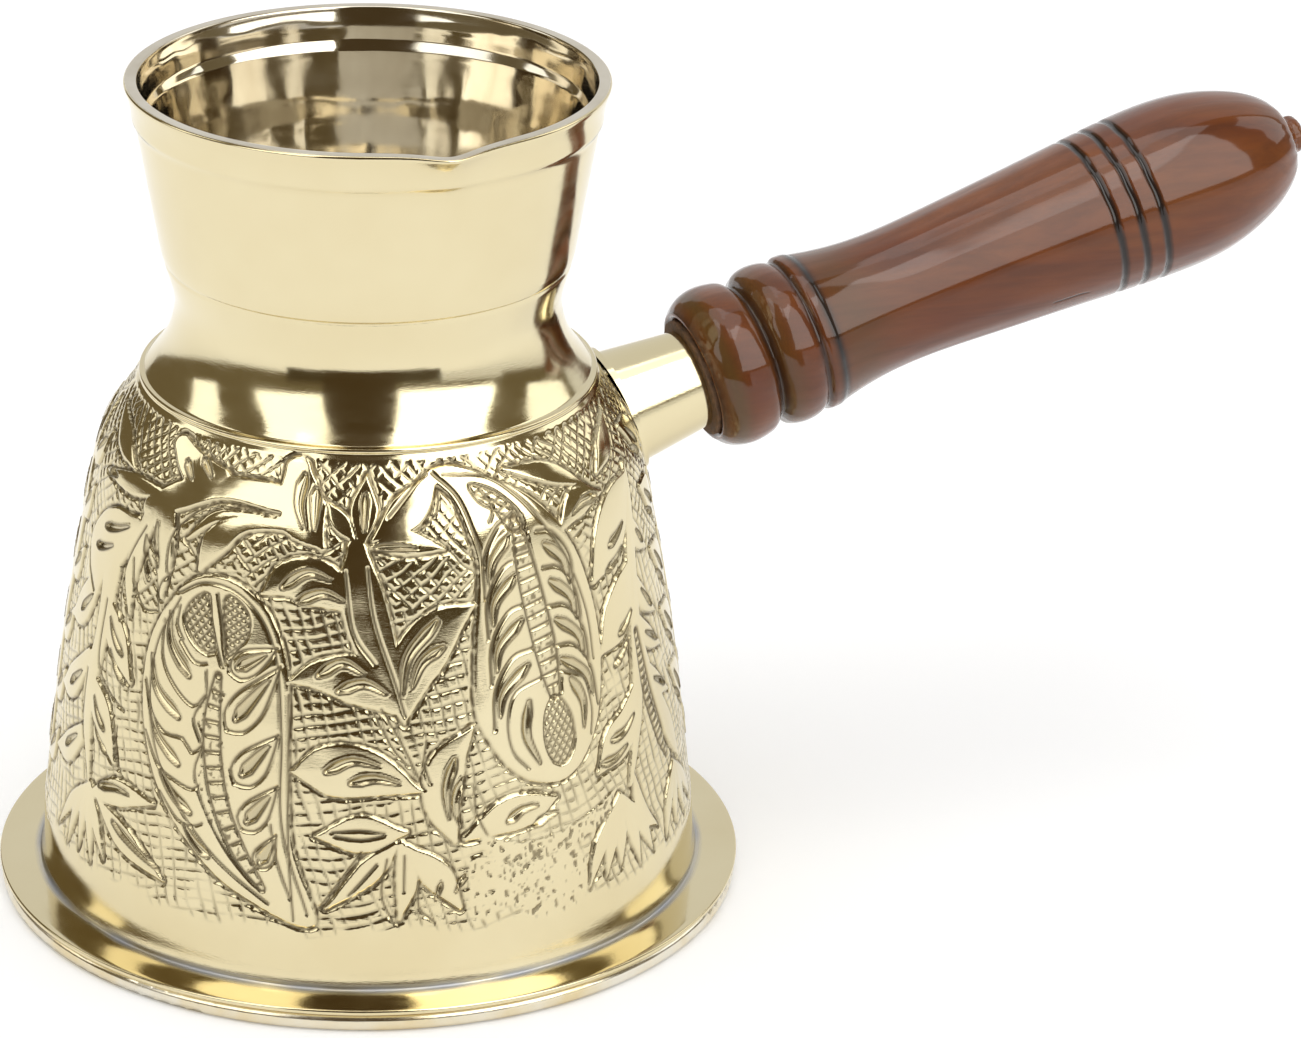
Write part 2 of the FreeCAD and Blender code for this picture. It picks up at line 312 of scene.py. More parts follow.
class Chasing:
    """A height map and a patina map over the cone: columns are degrees, rows are mm up its slope."""

    def __init__(self, radius, slope):
        shape = len(slope), COLUMNS
        self.slope = slope
        self.radius = radius
        self.turn = np.linspace(0, 360, COLUMNS, endpoint=False)
        self.height = np.zeros(shape)
        self.patina = np.zeros(shape)
        self.edge = np.full(shape, -9.0)
        self.crown = np.zeros(shape)
        self.cuts = []
        self.shift = 0.0

    def finish(self):
        """Presses the raised shapes as one silhouette with a punched outline, then makes the cuts."""
        turn, slope = np.meshgrid(self.turn, self.slope)
        punched = np.clip(0.8 + 0.45 * soft_noise(turn, slope, 400, 0.8, 97), 0, 1.1)
        inside = np.clip(self.edge / 0.24 + 0.5, 0, 1)
        groove = punched * np.exp(-(((self.edge + 0.22) / 0.25) ** 2))
        top = np.minimum(self.crown, 0.05 * np.sqrt(np.clip(self.edge, 0, 4)))
        self.height = self.height * (1 - inside) + top * inside - OUTLINE_DEPTH * groove
        self.patina = np.clip(np.maximum(self.patina * (1 - inside), groove), 0, 1)
        for cut, shift, settings in self.cuts:
            self.shift = shift
            cut(self, *settings)

    def smooth_line(self, points, closed=False, values=None):
        """The points on a smooth line through the given ones, about 0.8 mm apart or less."""
        knots = np.array(points, float)
        extra = np.array(values if values is not None else [0] * len(knots), float)[:, None]
        knots = np.concatenate([knots, extra], axis=1)
        knots[:, 0] += self.shift
        if closed:
            ends = np.concatenate([knots[-1:], knots, knots[:2]])
        else:
            ends = np.concatenate([2 * knots[:1] - knots[1:2], knots, 2 * knots[-1:] - knots[-2:-1]])
        line = []
        for i in range(1, len(ends) - 2):
            a, b, c, d = ends[i - 1: i + 3]
            steps = max(2, int(math.hypot((c[0] - b[0]) * 0.7, c[1] - b[1]) / 0.8))
            t = np.linspace(0, 1, steps, endpoint=False)[:, None]
            square = 2 * a - 5 * b + 4 * c - d
            cube = 3 * b - a - 3 * c + d
            line.append(0.5 * (2 * b + (c - a) * t + square * t**2 + cube * t**3))
        line.append(ends[-2:-1])
        return np.concatenate(line)

    def window(self, line, margin):
        """Row and column numbers round a line, and the places of those points in mm beside it."""
        low = np.searchsorted(self.slope, line[:, 1].min() - margin)
        high = np.searchsorted(self.slope, line[:, 1].max() + margin)
        rows = np.arange(low, min(high, len(self.slope)))
        spread = math.degrees(margin / 30)
        first = int(np.floor((line[:, 0].min() - spread) / 360 * COLUMNS))
        last = int(np.ceil((line[:, 0].max() + spread) / 360 * COLUMNS))
        columns = np.arange(first, last)
        scale = np.radians(1) * self.radius[rows][:, None]
        middle = line[:, 0].mean()
        x = (columns[None, :] * 360 / COLUMNS - middle) * scale
        y = self.slope[rows][:, None] + 0 * x
        own_scale = np.radians(1) * np.interp(line[:, 1], self.slope, self.radius)
        path = np.stack([(line[:, 0] - middle) * own_scale, line[:, 1]], axis=1)
        return np.ix_(rows, columns % COLUMNS), x, y, path

    def nearest(self, x, y, path, values=None, closed=False):
        """Distance to the path, the share of the way along it, and the value there, at each point."""
        best = np.full(x.shape, 1e9)
        share = np.zeros(x.shape)
        value = np.zeros(x.shape)
        values = values if values is not None else np.zeros(len(path))
        ends = np.roll(path, -1, axis=0) if closed else path[1:]
        count = len(ends)
        for i in range(count):
            start, step = path[i], ends[i] - path[i]
            length = step @ step + 1e-12
            t = np.clip(((x - start[0]) * step[0] + (y - start[1]) * step[1]) / length, 0, 1)
            distance = np.hypot(x - start[0] - t * step[0], y - start[1] - t * step[1])
            closer = distance < best
            best = np.where(closer, distance, best)
            share = np.where(closer, (i + t) / count, share)
            value = np.where(closer, values[i] * (1 - t) + values[(i + 1) % len(values)] * t, value)
        return best, share, value

    def field(self, points):
        """Signed distance in mm from a closed outline, positive inside, round the outline's place."""
        line = self.smooth_line(points, closed=True)
        place, x, y, path = self.window(line, 1.6)
        distance, _, _ = self.nearest(x, y, path, closed=True)
        within = np.zeros(x.shape, bool)
        for start, end in zip(path, np.roll(path, -1, axis=0)):
            crosses = (start[1] > y) != (end[1] > y)
            slant = (end[0] - start[0]) / ((end[1] - start[1]) or 1e-9)
            within ^= crosses & (x < start[0] + (y - start[1]) * slant)
        return place, x, y, np.where(within, distance, -distance)

    def leaf(self, points, widths, rise=0.1):
        """A petal along a curved spine, with its half width at each point of the spine."""
        line = self.smooth_line(points, values=widths)
        place, x, y, path = self.window(line, max(widths) + 1.5)
        distance, _, half = self.nearest(x, y, path, line[:, 2])
        self.edge[place] = np.maximum(self.edge[place], half - distance)
        dome = rise * np.sqrt(np.clip(1 - (distance / np.maximum(half, 0.05)) ** 2, 0, 1))
        self.crown[place] = np.maximum(self.crown[place], dome)

    def leaves(self, *shapes):
        """Several petals, each given by its spine and its half widths."""
        for points, widths in shapes:
            self.leaf(points, widths)

    def patch(self, points, rise=0.1, swell=3.5):
        """A raised field inside a closed outline."""
        place, _, _, edge = self.field(points)
        self.edge[place] = np.maximum(self.edge[place], edge)
        self.crown[place] = np.maximum(self.crown[place], rise * np.sqrt(np.clip(edge / swell, 0, 1)))

    @kept_for_later
    def gouge(self, points, width=0.75, depth=0.55):
        """A cut that starts as a fine point and ends round and deep, as a curved chisel makes it."""
        place, x, y, path = self.window(self.smooth_line(points), width + 1)
        distance, share, _ = self.nearest(x, y, path)
        blunt = np.clip((1.06 - share) / 0.25, 0, 1) ** 0.5
        half = width * np.sqrt(np.clip(share * 1.15, 0.004, 1)) * blunt
        bowl = np.clip(1 - (distance / np.maximum(half, 0.06)) ** 2, 0, 1)
        rim = np.exp(-(((distance - half) / 0.16) ** 2)) * (half > 0.08)
        self.height[place] += 0.09 * rim - depth * bowl * (0.35 + 0.65 * share)
        self.patina[place] = np.maximum(self.patina[place], np.maximum(0.9 * rim, 0.3 * bowl))

    @kept_for_later
    def line(self, points, width=0.19, depth=0.2, dark=0.85):
        """A fine engraved line."""
        place, x, y, path = self.window(self.smooth_line(points), 1.2)
        distance, _, _ = self.nearest(x, y, path)
        cut = np.exp(-((distance / width) ** 2))
        self.height[place] -= depth * cut
        self.patina[place] = np.maximum(self.patina[place], dark * cut)

    @kept_for_later
    def ladder(self, points, widths, pitch=1.15):
        """A vein between two lines, cut across by short bars."""
        line = self.smooth_line(points, values=widths)
        place, x, y, path = self.window(line, max(widths) + 1.2)
        distance, share, half = self.nearest(x, y, path, line[:, 2])
        length = np.hypot(*np.diff(path, axis=0).T).sum()
        inside = np.clip((half - distance) / 0.25 + 0.5, 0, 1)
        phase = share * length / pitch
        bar = np.exp(-((np.abs(phase - np.round(phase)) * pitch / 0.22) ** 2)) * inside
        edge = np.exp(-(((half - distance) / 0.22) ** 2))
        cut = np.maximum(bar, edge)
        self.height[place] = self.height[place] * (1 - inside) - 0.05 * inside - 0.18 * cut
        self.patina[place] = np.maximum(self.patina[place], 0.9 * cut)

    @kept_for_later
    def hatched(self, points, pitch=1.3, lean=35.0):
        """A sunk field inside a closed outline, cross-hatched."""
        place, x, y, edge = self.field(points)
        inside = np.clip(edge / 0.24 + 0.5, 0, 1)
        groove = np.exp(-((edge / 0.18) ** 2))
        cut = np.zeros(x.shape)
        for turn in (lean, -lean):
            phase = (x * math.cos(math.radians(turn)) + y * math.sin(math.radians(turn))) / pitch
            cut = np.maximum(cut, np.exp(-((np.abs(phase - np.round(phase)) * pitch / 0.18) ** 2)))
        cut = cut * inside
        self.height[place] -= 0.12 * inside + HATCH_DEPTH * cut + OUTLINE_DEPTH * groove
        self.patina[place] = np.maximum(self.patina[place], np.maximum(0.8 * cut, 0.85 * groove))

    @kept_for_later
    def stipple(self, points, sparse):
        """A smooth field inside a closed outline, with small punched dots that thin out as sparse grows."""
        place, x, y, edge = self.field(points)
        inside = np.clip(edge / 0.5 + 0.5, 0, 1)
        around = np.degrees(x / 40) + 180
        speckle = soft_noise(around, y, 620, 0.45, 98) + 0.5 * soft_noise(around, y, 290, 1.0, 99)
        cut = np.clip((speckle - sparse) / 0.3, 0, 1) * inside
        self.height[place] = self.height[place] * (1 - inside) - 0.04 * inside - 0.13 * cut
        self.patina[place] = self.patina[place] * (1 - inside) + 0.7 * cut

    def lobe(self, start, end, bulge, gouge):
        """One lobe of a great leaf: two bowed outlines from start to end, with a gouge between them."""
        across = math.radians(1) * 41
        run = np.array(((end[0] - start[0]) * across, end[1] - start[1]))
        aside = np.array((-run[1], run[0])) / np.hypot(*run)

        def spot(share, swell=0.0):
            away = run * share + aside * swell
            return start[0] + away[0] / across, start[1] + away[1]

        for way in (bulge, -bulge):
            middle = [spot(share, way * swell) for share, swell in ((0.25, 0.5), (0.6, 1.0), (0.88, 0.8))]
            self.line([start, *middle, end], 0.2, 0.24)
        self.gouge((spot(0.2), spot(0.82)), gouge)


def hatch_lines(turn, slope, radius, lines_round, lines_up, seed):
    """Grooves of one hand-cut family of parallel lines, from 0 to 1."""
    phase = lines_round * turn / 360 + lines_up * slope
    phase = phase + 0.5 * soft_noise(turn, slope, 34, 9.0, seed)
    phase = phase + 0.14 * soft_noise(turn, slope, 110, 3.0, seed + 3)
    spacing = 1 / np.hypot(lines_round / (2 * np.pi * radius), lines_up)
    away = np.abs(phase - np.round(phase)) * spacing
    width = 0.18 + 0.06 * soft_noise(turn, slope, 90, 3.0, seed + 1)
    strength = np.clip(0.75 + 0.75 * soft_noise(turn, slope, 150, 2.2, seed + 2), 0.1, 1)
    return strength * np.exp(-((away / width) ** 2))


def cut_ground(chasing):
    """The sunk, cross-hatched ground between the bare bands at the foot and the top of the cone."""
    turn, slope = np.meshgrid(chasing.turn, chasing.slope)
    radius = chasing.radius[:, None]
    steep = hatch_lines(turn, slope, radius, 160, 0.17, 11)
    level = hatch_lines(turn, slope, radius, -30, 0.66, 21)
    rising = hatch_lines(turn, slope, radius, 116, 0.5, 31)
    falling = hatch_lines(turn, slope, radius, -96, 0.5, 41)
    upright = np.maximum(steep, 0.8 * level)
    diamonds = np.maximum(rising, falling)
    high = np.clip((slope - 50 + 9 * soft_noise(turn, slope, 14, 12.0, 51)) / 2, 0, 1)
    cut = upright * (1 - high) + diamonds * high
    ragged = PLAIN_BAND + 1.0 + 1.1 * soft_noise(turn, slope * 0, 110, 5.0, 61)
    below_top = chasing.slope[-1] - BORDER - slope
    fade = np.clip((slope - ragged) / 1.2, 0, 1) * np.clip(below_top / 0.5, 0, 1)
    cut = cut * np.clip((slope - ragged + 1.2) / 0.8, 0, 1) * np.clip(below_top / 0.3, 0, 1)
    chasing.height = -GROUND_DEPTH * fade - HATCH_DEPTH * cut
    chasing.patina = 0.62 * cut


def cut_all(chasing, gouges=(), lines=(), width=0.75):
    """Makes several gouges and several fine lines."""
    for points in gouges:
        chasing.gouge(points, width)
    for points in lines:
        chasing.line(points)


def chase_bud(chasing):
    """The three-petalled bud on its stem, with leaves each side."""
    chasing.leaves(
        (((-21.5, 60), (-20.5, 54), (-17, 45), (-12.5, 36.5)), (1.4, 2.9, 2.6, 0.2)),
        (((-22, 53), (-29, 55.2), (-35, 55.4), (-40.5, 53)), (1.6, 3.2, 2.6, 0.2)),
        (((-14, 39.5), (-21, 42.4), (-28, 43), (-34, 41.8)), (1.8, 3.3, 2.2, 0.2)),
        (((-12.5, 37), (-10.5, 44), (-5, 49), (2, 51.6)), (0.3, 3.3, 2.9, 0.2)),
        (((-28.5, 60), (-33, 64), (-35.5, 70)), (0.5, 3.4, 1.8)),
        (((-18, 61.2), (-11, 64.6), (-4.5, 69)), (0.4, 2.5, 0.8)),
        (((-20.5, 60.5), (-20, 65), (-19.5, 69.8)), (0.4, 1.9, 0.1)),
        (((-18.5, 60.2), (-11.5, 60.6), (-3.5, 59.4)), (0.3, 1.7, 0.2)),
        (((-22, 61), (-25, 63.5), (-28, 66)), (0.3, 1.3, 0.1)),
    )
    cut_all(
        chasing,
        gouges=(
            ((-26, 55.8), (-31, 56.6), (-36, 54.4)), ((-23.5, 52.9), (-28, 54), (-32.8, 52.6)),
            ((-19.5, 43.2), (-24, 44.8), (-28.4, 43)), ((-15.5, 40.5), (-20, 42.1), (-24.6, 41)),
            ((-13, 40), (-11.6, 45.5), (-6, 50)), ((-11.2, 41), (-9, 44.6), (-5, 46.4)),
            ((-30.2, 62), (-30.4, 65), (-30.6, 67.6)), ((-32.2, 62.2), (-34, 65.5), (-33.6, 69.3)),
        ),
        lines=(
            ((-19.3, 57.5), (-18, 50.5), (-14.4, 42.5), (-12.4, 37.5)), ((-23.6, 57), (-22, 49), (-18, 44.6)),
            ((-16.8, 38.6), (-13, 33.5), (-9.3, 27.4)), ((-18.2, 38), (-15, 33.4), (-12, 30.6)),
            ((-8.5, 62), (-4.6, 64.4), (-3.6, 67.4)), ((-15, 64), (-11, 66.8), (-6.8, 69.6)),
        ),
        width=0.85,
    )
    chasing.gouge(((-20, 62), (-19.8, 67)), 0.55)
    chasing.gouge(((-9, 59.9), (-13, 60.2), (-17.6, 60.1)), 0.6)


def chase_low_leaves(chasing):
    """The leaves low down between the two great leaves."""
    chasing.leaves(
        (((-33, 29.6), (-27, 30.2), (-19, 29.8), (-10, 27.2)), (0.2, 3.4, 3.3, 0.3)),
        (((-28.5, 21), (-20.5, 21.5), (-12.5, 21.6)), (0.2, 2.7, 0.3)),
        (((-4, 19.8), (-6, 25), (-5, 30.5), (0, 35)), (0.4, 2.5, 2.6, 0.3)),
        (((-2, 20), (5, 22), (11, 22.4), (16, 23)), (0.5, 2.4, 2.2, 0.3)),
        (((-13.5, 20), (-12.6, 15), (-14, 9.5)), (0.6, 1.5, 0.2)),
        (((-14.5, 20), (-19, 16.4), (-26.5, 11)), (0.5, 1.7, 0.2)),
        (((-12.5, 19.5), (-7.5, 15.4), (-3.5, 10.5)), (0.6, 2.1, 0.4)),
    )
    cut_all(
        chasing,
        gouges=(
            ((-17, 30.8), (-22, 31.6), (-26.6, 30)), ((-13.4, 28.3), (-18, 29.2), (-22.2, 28.6)),
            ((-4.9, 22.6), (-5.4, 27), (-3.6, 31)), ((-2.5, 21.2), (-3.9, 25), (-2.2, 28.2)),
            ((12.4, 22.6), (9, 22.6), (6, 21.4)), ((16.6, 20.8), (14, 20.7), (11.2, 19.9)),
        ),
        lines=(
            ((-25.5, 21.7), (-20.5, 22.1), (-16.4, 21.6)), ((-25, 21.2), (-20.5, 20.8), (-16.6, 21.3)),
            ((-8.6, 34), (-9.2, 31), (-8.2, 28.2)), ((-0.2, 27), (0.2, 23), (2, 19.8)),
            ((-13, 18.4), (-13.2, 13.4)), ((-17.8, 17.4), (-22.6, 13)), ((-20.4, 19), (-28, 10.6)),
            ((-10.6, 14.6), (-10.6, 11), (-8, 8.8)), ((-16, 18), (-17, 13), (-15, 9)),
        ),
        width=0.8,
    )
    chasing.gouge(((-7.8, 11.6), (-6.8, 14.2)), 0.4)
    chasing.gouge(((-4.4, 12.6), (-2.4, 14.8)), 0.5)
    chasing.gouge(((9.6, 12), (7, 10.6)), 0.45)
    under_paisley = ((1, 20), (9, 18), (20, 18.4), (29, 20.4), (28, 17.4), (19, 15.2), (9, 15), (2, 17))
    near_foot = ((-1, 17), (9, 15), (20, 15), (21, 8), (11, 6.8), (6, 9.4), (-1, 8.6))
    chasing.stipple(under_paisley, 0.22)
    chasing.stipple(near_foot, 0.52)


def chase_petals(chasing):
    """The long petals down the left of the great leaf."""
    for tail, bend, head in (
        ((-60.5, 48), (-59.4, 43.6), (-54.4, 40)), ((-64, 41.5), (-61.8, 37), (-55.9, 34)),
        ((-63, 34), (-60.4, 30.6), (-55.2, 27.6)), ((-59.5, 26), (-56.4, 23.6), (-52, 21.4)),
        ((-53.4, 19.8), (-51, 17.6), (-48, 16)),
    ):
        chasing.gouge((tail, bend, head), 0.8)
    for points in (
        ((-61.8, 46.4), (-61, 41.4), (-57.6, 38.2), (-53, 36.2), (-50.6, 38)),
        ((-64.8, 37.6), (-62.4, 33.6), (-58.8, 31.4), (-54.6, 31.4), (-52.4, 29.8), (-50.6, 31)),
        ((-63.6, 30.6), (-60, 26.6), (-56, 25.4), (-51.8, 24.8), (-50, 26)),
        ((-59, 23), (-54.6, 20), (-51.6, 19.6), (-49.4, 20.4)),
        (
            (-50.6, 41.4), (-50.4, 38), (-52.6, 34.6), (-50.6, 31), (-51.6, 27.4), (-49.6, 23.4), (-45, 18),
            (-39, 13.4),
        ),
    ):
        chasing.line(points)


def chase_great_leaf(chasing):
    """The tall leaf that curls over to the right at the top and runs down to a point."""
    chasing.patch((
        (-28.4, 8.4), (-32.5, 20), (-33.6, 32), (-34.2, 43), (-37, 49), (-42, 53), (-49, 54.4), (-56, 53),
        (-61.5, 48.8), (-65.2, 43), (-65.6, 36), (-63.2, 28.6), (-59.6, 23.2), (-52, 16.8), (-42, 11.6),
    ))
    chase_petals(chasing)
    beside_vein = (
        (-49.6, 41), (-47, 41.6), (-46, 36), (-46, 31), (-44, 24), (-41, 18.4), (-37.4, 13.6), (-42, 15.6),
        (-47.6, 20.8), (-50.6, 26.4), (-50, 31), (-51.8, 34.6), (-49.8, 38),
    )
    chasing.stipple(beside_vein, 0.42)
    vein_line = ((-48.2, 41), (-48.8, 35), (-48, 29), (-45.6, 22.6), (-41.6, 17), (-37.6, 13))
    chasing.ladder(vein_line, (0.5, 1.2, 1.3, 1.2, 1.0, 0.4), 2.1)
    for edge, vein, bulge in (
        ((-36.6, 46), (-45.6, 42), 1.8), ((-35.8, 43.6), (-45.6, 34), 2.2), ((-35.6, 34.4), (-43.4, 27), 2.1),
        ((-35.4, 27.4), (-41.8, 20.8), 1.8), ((-35.4, 20.6), (-38.6, 15.8), 1.3),
    ):
        chasing.lobe(edge, vein, bulge, 0.95)
    left_curl = ((-57, 48.6), (-54.4, 51), (-51.6, 51.6), (-50.6, 48), (-49.4, 44), (-52.6, 44), (-56, 46))
    right_curl = ((-48, 51.8), (-44.6, 51.4), (-42.4, 49.4), (-42.8, 46.8), (-46.4, 43.8), (-47.6, 47))
    chasing.hatched(left_curl, 1.0, 40)
    chasing.hatched(right_curl, 0.9, 50)
    cut_all(
        chasing,
        lines=(
            ((-52.2, 51.6), (-50, 47), (-47.4, 42.4)), ((-49.6, 52), (-48, 47.6), (-46.8, 43)),
            ((-58.4, 50), (-62.6, 44), (-63.6, 37), (-61.4, 29.6), (-57, 24), (-48, 17), (-36.4, 11)),
            (
                (-59, 50.6), (-53, 53), (-46, 52.8), (-40, 49.8), (-36.4, 44), (-35, 34), (-34.4, 22),
                (-29.6, 10),
            ),
            ((-32, 9), (-33.2, 20), (-33.6, 30), (-34, 40)), ((-32.6, 12), (-35.4, 18), (-36.4, 22)),
            ((-57, 44.4), (-53.4, 42.2), (-50.8, 42.4)), ((-58.2, 49), (-58.4, 46.4), (-56.6, 44.6)),
        ),
    )


def chase_hood(chasing):
    """The sweeping fronds over the great leaf."""
    chasing.leaves(
        (((-29, 61), (-38, 62.4), (-46, 61.6), (-51.6, 58.6), (-54.6, 54.4)), (0.4, 0.9, 1.2, 1.9, 0.3)),
        (((-33, 65), (-43, 66), (-53, 65.8), (-62, 63.4), (-70, 60)), (2.6, 1.9, 1.7, 2.0, 1.6)),
        (((-66, 61), (-64.4, 57), (-64, 53.6), (-63.6, 49)), (2.2, 2.0, 1.4, 0.3)),
        (((-69, 60), (-71.6, 55), (-73.2, 50), (-72, 45)), (1.2, 1.5, 1.3, 0.3)),
        (((-54, 66.6), (-61, 67.2), (-68, 69.6)), (1.8, 2.3, 1.4)),
        (((-42, 63.4), (-52, 62), (-58.6, 58)), (0.2, 0.8, 0.2)),
    )
    cut_all(
        chasing,
        gouges=(
            ((-66.8, 59), (-66.6, 56), (-65.4, 53)), ((-69.4, 56.6), (-69, 53.6), (-67.6, 50.6)),
            ((-60.4, 65.6), (-63.8, 67.8)), ((-55.6, 66.6), (-59.4, 68.8)),
        ),
        lines=(
            ((-38, 63.8), (-50, 64.2), (-57, 62), (-62, 58.4), (-63, 55), (-62.4, 52)),
            ((-62, 57), (-61.4, 53.2), (-63.6, 51.4), (-64.6, 49), (-64, 47)),
            ((-70, 57.6), (-74.4, 52), (-75.8, 47.6), (-74.6, 43.4)),
            ((-72.6, 52.6), (-71.4, 49), (-68, 46.6), (-64.6, 47)),
        ),
        width=0.6,
    )


def chase_left_branch(chasing):
    """The branch to the left of the great leaf."""
    chasing.leaves(
        (((-66, 62.8), (-77, 61.8), (-90, 61)), (0.4, 1.5, 0.3)),
        (((-79, 63.6), (-89, 66), (-100, 69)), (0.3, 1.6, 0.3)),
        (((-73, 57), (-80, 54), (-87, 50), (-92, 45)), (1.4, 4.0, 3.8, 0.4)),
        (((-80, 50), (-80.6, 40), (-82.6, 30), (-79, 19)), (2.2, 1.6, 1.6, 0.3)),
        (((-80, 44.6), (-75, 40.6), (-69.4, 36)), (1.4, 2.5, 0.5)),
        (((-82, 33), (-77, 29.4), (-71.6, 24)), (1.4, 2.5, 0.5)),
        (((-78.5, 17.5), (-70, 20), (-60.5, 20.8)), (0.3, 2.0, 0.3)),
        (((-76, 18), (-67, 14.2), (-57, 10.6)), (0.3, 2.0, 0.2)),
        (((-84, 48), (-91, 41), (-97, 38)), (1.2, 2.6, 0.3)),
        (((-84, 36), (-91, 30), (-97, 28)), (1.0, 2.4, 0.3)),
        (((-82, 26), (-89, 21), (-96, 19)), (0.8, 2.2, 0.3)),
    )
    cut_all(
        chasing,
        gouges=(
            ((-75, 56.4), (-80, 55), (-84.6, 54.2)), ((-80, 52.6), (-84, 51.4), (-87.6, 50.8)),
            ((-77.8, 43.2), (-75.6, 40.8), (-72.4, 39)), ((-76.6, 39), (-74.4, 36.8), (-71.2, 35.2)),
            ((-80, 31.4), (-78, 29.2), (-75.2, 27.6)), ((-79, 27.6), (-77, 25.8), (-74, 24.4)),
            ((-66, 20.6), (-70, 20.6), (-75, 19.6)), ((-57.4, 11.8), (-63, 13.4), (-70, 15.8)),
            ((-84, 61.3), (-88, 61.3)), ((-86, 44), (-91, 40.6)),
            ((-86, 33), (-91, 29.8)), ((-85, 24), (-90, 21)),
        ),
        lines=(
            ((-84, 34), (-83.6, 27), (-81.4, 22)),
            ((-80, 45), (-80.4, 38), (-79, 34.6), (-75, 32.8), (-70, 31.6)),
            ((-71.8, 29), (-71.4, 25), (-69, 22.4)), ((-86, 44.6), (-90, 47), (-94, 52)),
        ),
        width=0.65,
    )
    for tip in ((-72, 9.6), (-76, 8), (-80.5, 8.6), (-85.5, 7.8), (-90, 9.2)):
        chasing.leaf(((-78, 19), ((tip[0] - 78) / 2 - 0.5, 14.5), tip), (0.4, 1.1, 0.1))


def chase_blades(chasing, lows, side):
    """Curved blades down one side of the drop-shaped leaf. Side is -1 for its left and 1 for its right."""
    for low in lows:
        narrow = (low - 32) * 0.06
        middle = 16.5 - narrow * 1.5
        root = middle + side * 2.4
        bend = middle + side * (10.2 - narrow)
        tip = middle + side * (12.2 - 1.4 * narrow)
        shoulder = (bend - side * 2.6, low + 6.3), (bend + side * 1.2, low + 2.4)
        chasing.line(((root, low + 7), *shoulder, (tip, low - 3)), 0.24, 0.3)
        start = tip - side * 1.2, low - 1.6
        end = root + side * 1.6, low + 4.8
        chasing.gouge((start, (bend - side * 0.6, low + 1.8), end), 0.85)


def chase_paisley(chasing):
    """The great drop-shaped leaf on the right, with its rough vein and curved blades."""
    chasing.patch((
        (-6, 69.6), (-1, 66), (1.6, 61), (3, 56), (2, 50), (1, 44), (0.8, 37), (3.2, 32.6), (7, 28.4),
        (12, 25.8), (18, 25), (23, 27), (27, 31), (29.4, 36), (30.6, 42), (30, 48), (27.6, 54), (23, 60),
        (17, 64.6), (9, 68), (1, 70.4),
    ))
    chase_blades(chasing, (37.2, 43.4, 49.6, 55.0), -1)
    chase_blades(chasing, (36.6, 42.2, 47.6, 52.6), 1)
    beside_vein = (
        (14.4, 62), (15.6, 55), (17.6, 48), (19.4, 41), (19, 37), (15.4, 38), (14, 44), (12.4, 51), (10.8, 57),
        (11, 62),
    )
    chasing.stipple(beside_vein, 0.36)
    vein_line = ((12.6, 62), (13.6, 55), (15.4, 48), (16.8, 42), (17.6, 37.4))
    chasing.ladder(vein_line, (0.5, 1.4, 1.7, 1.6, 0.9), 1.7)
    chasing.hatched(((3.6, 67.4), (9, 66), (13.6, 62.6), (14, 60), (11, 60.6), (8.4, 63.4), (5, 65)), 1.3, 60)
    chasing.hatched(((17.6, 37), (20.6, 34), (21, 30), (18.8, 27.4), (16, 28), (14.4, 31), (15, 35)), 0.95)
    cut_all(
        chasing,
        gouges=(((13.2, 28), (10.6, 32.6), (11.6, 37)), ((23.4, 31), (23.8, 35), (21.6, 38.4))),
        lines=(
            ((15, 40), (9, 38.8), (7, 35.4), (7.6, 31), (10.6, 28)),
            ((19.6, 40), (24.6, 38), (26, 33.6), (25.2, 30)),
            ((-2, 69.2), (8, 68.2), (14, 65), (19, 60.4), (24, 54.6), (27.6, 47), (28, 40)),
            ((-4.4, 69.6), (0.4, 66), (3, 60.6), (4.4, 56.4)), ((6, 66.4), (8, 64), (6.6, 62)),
        ),
        width=0.8,
    )


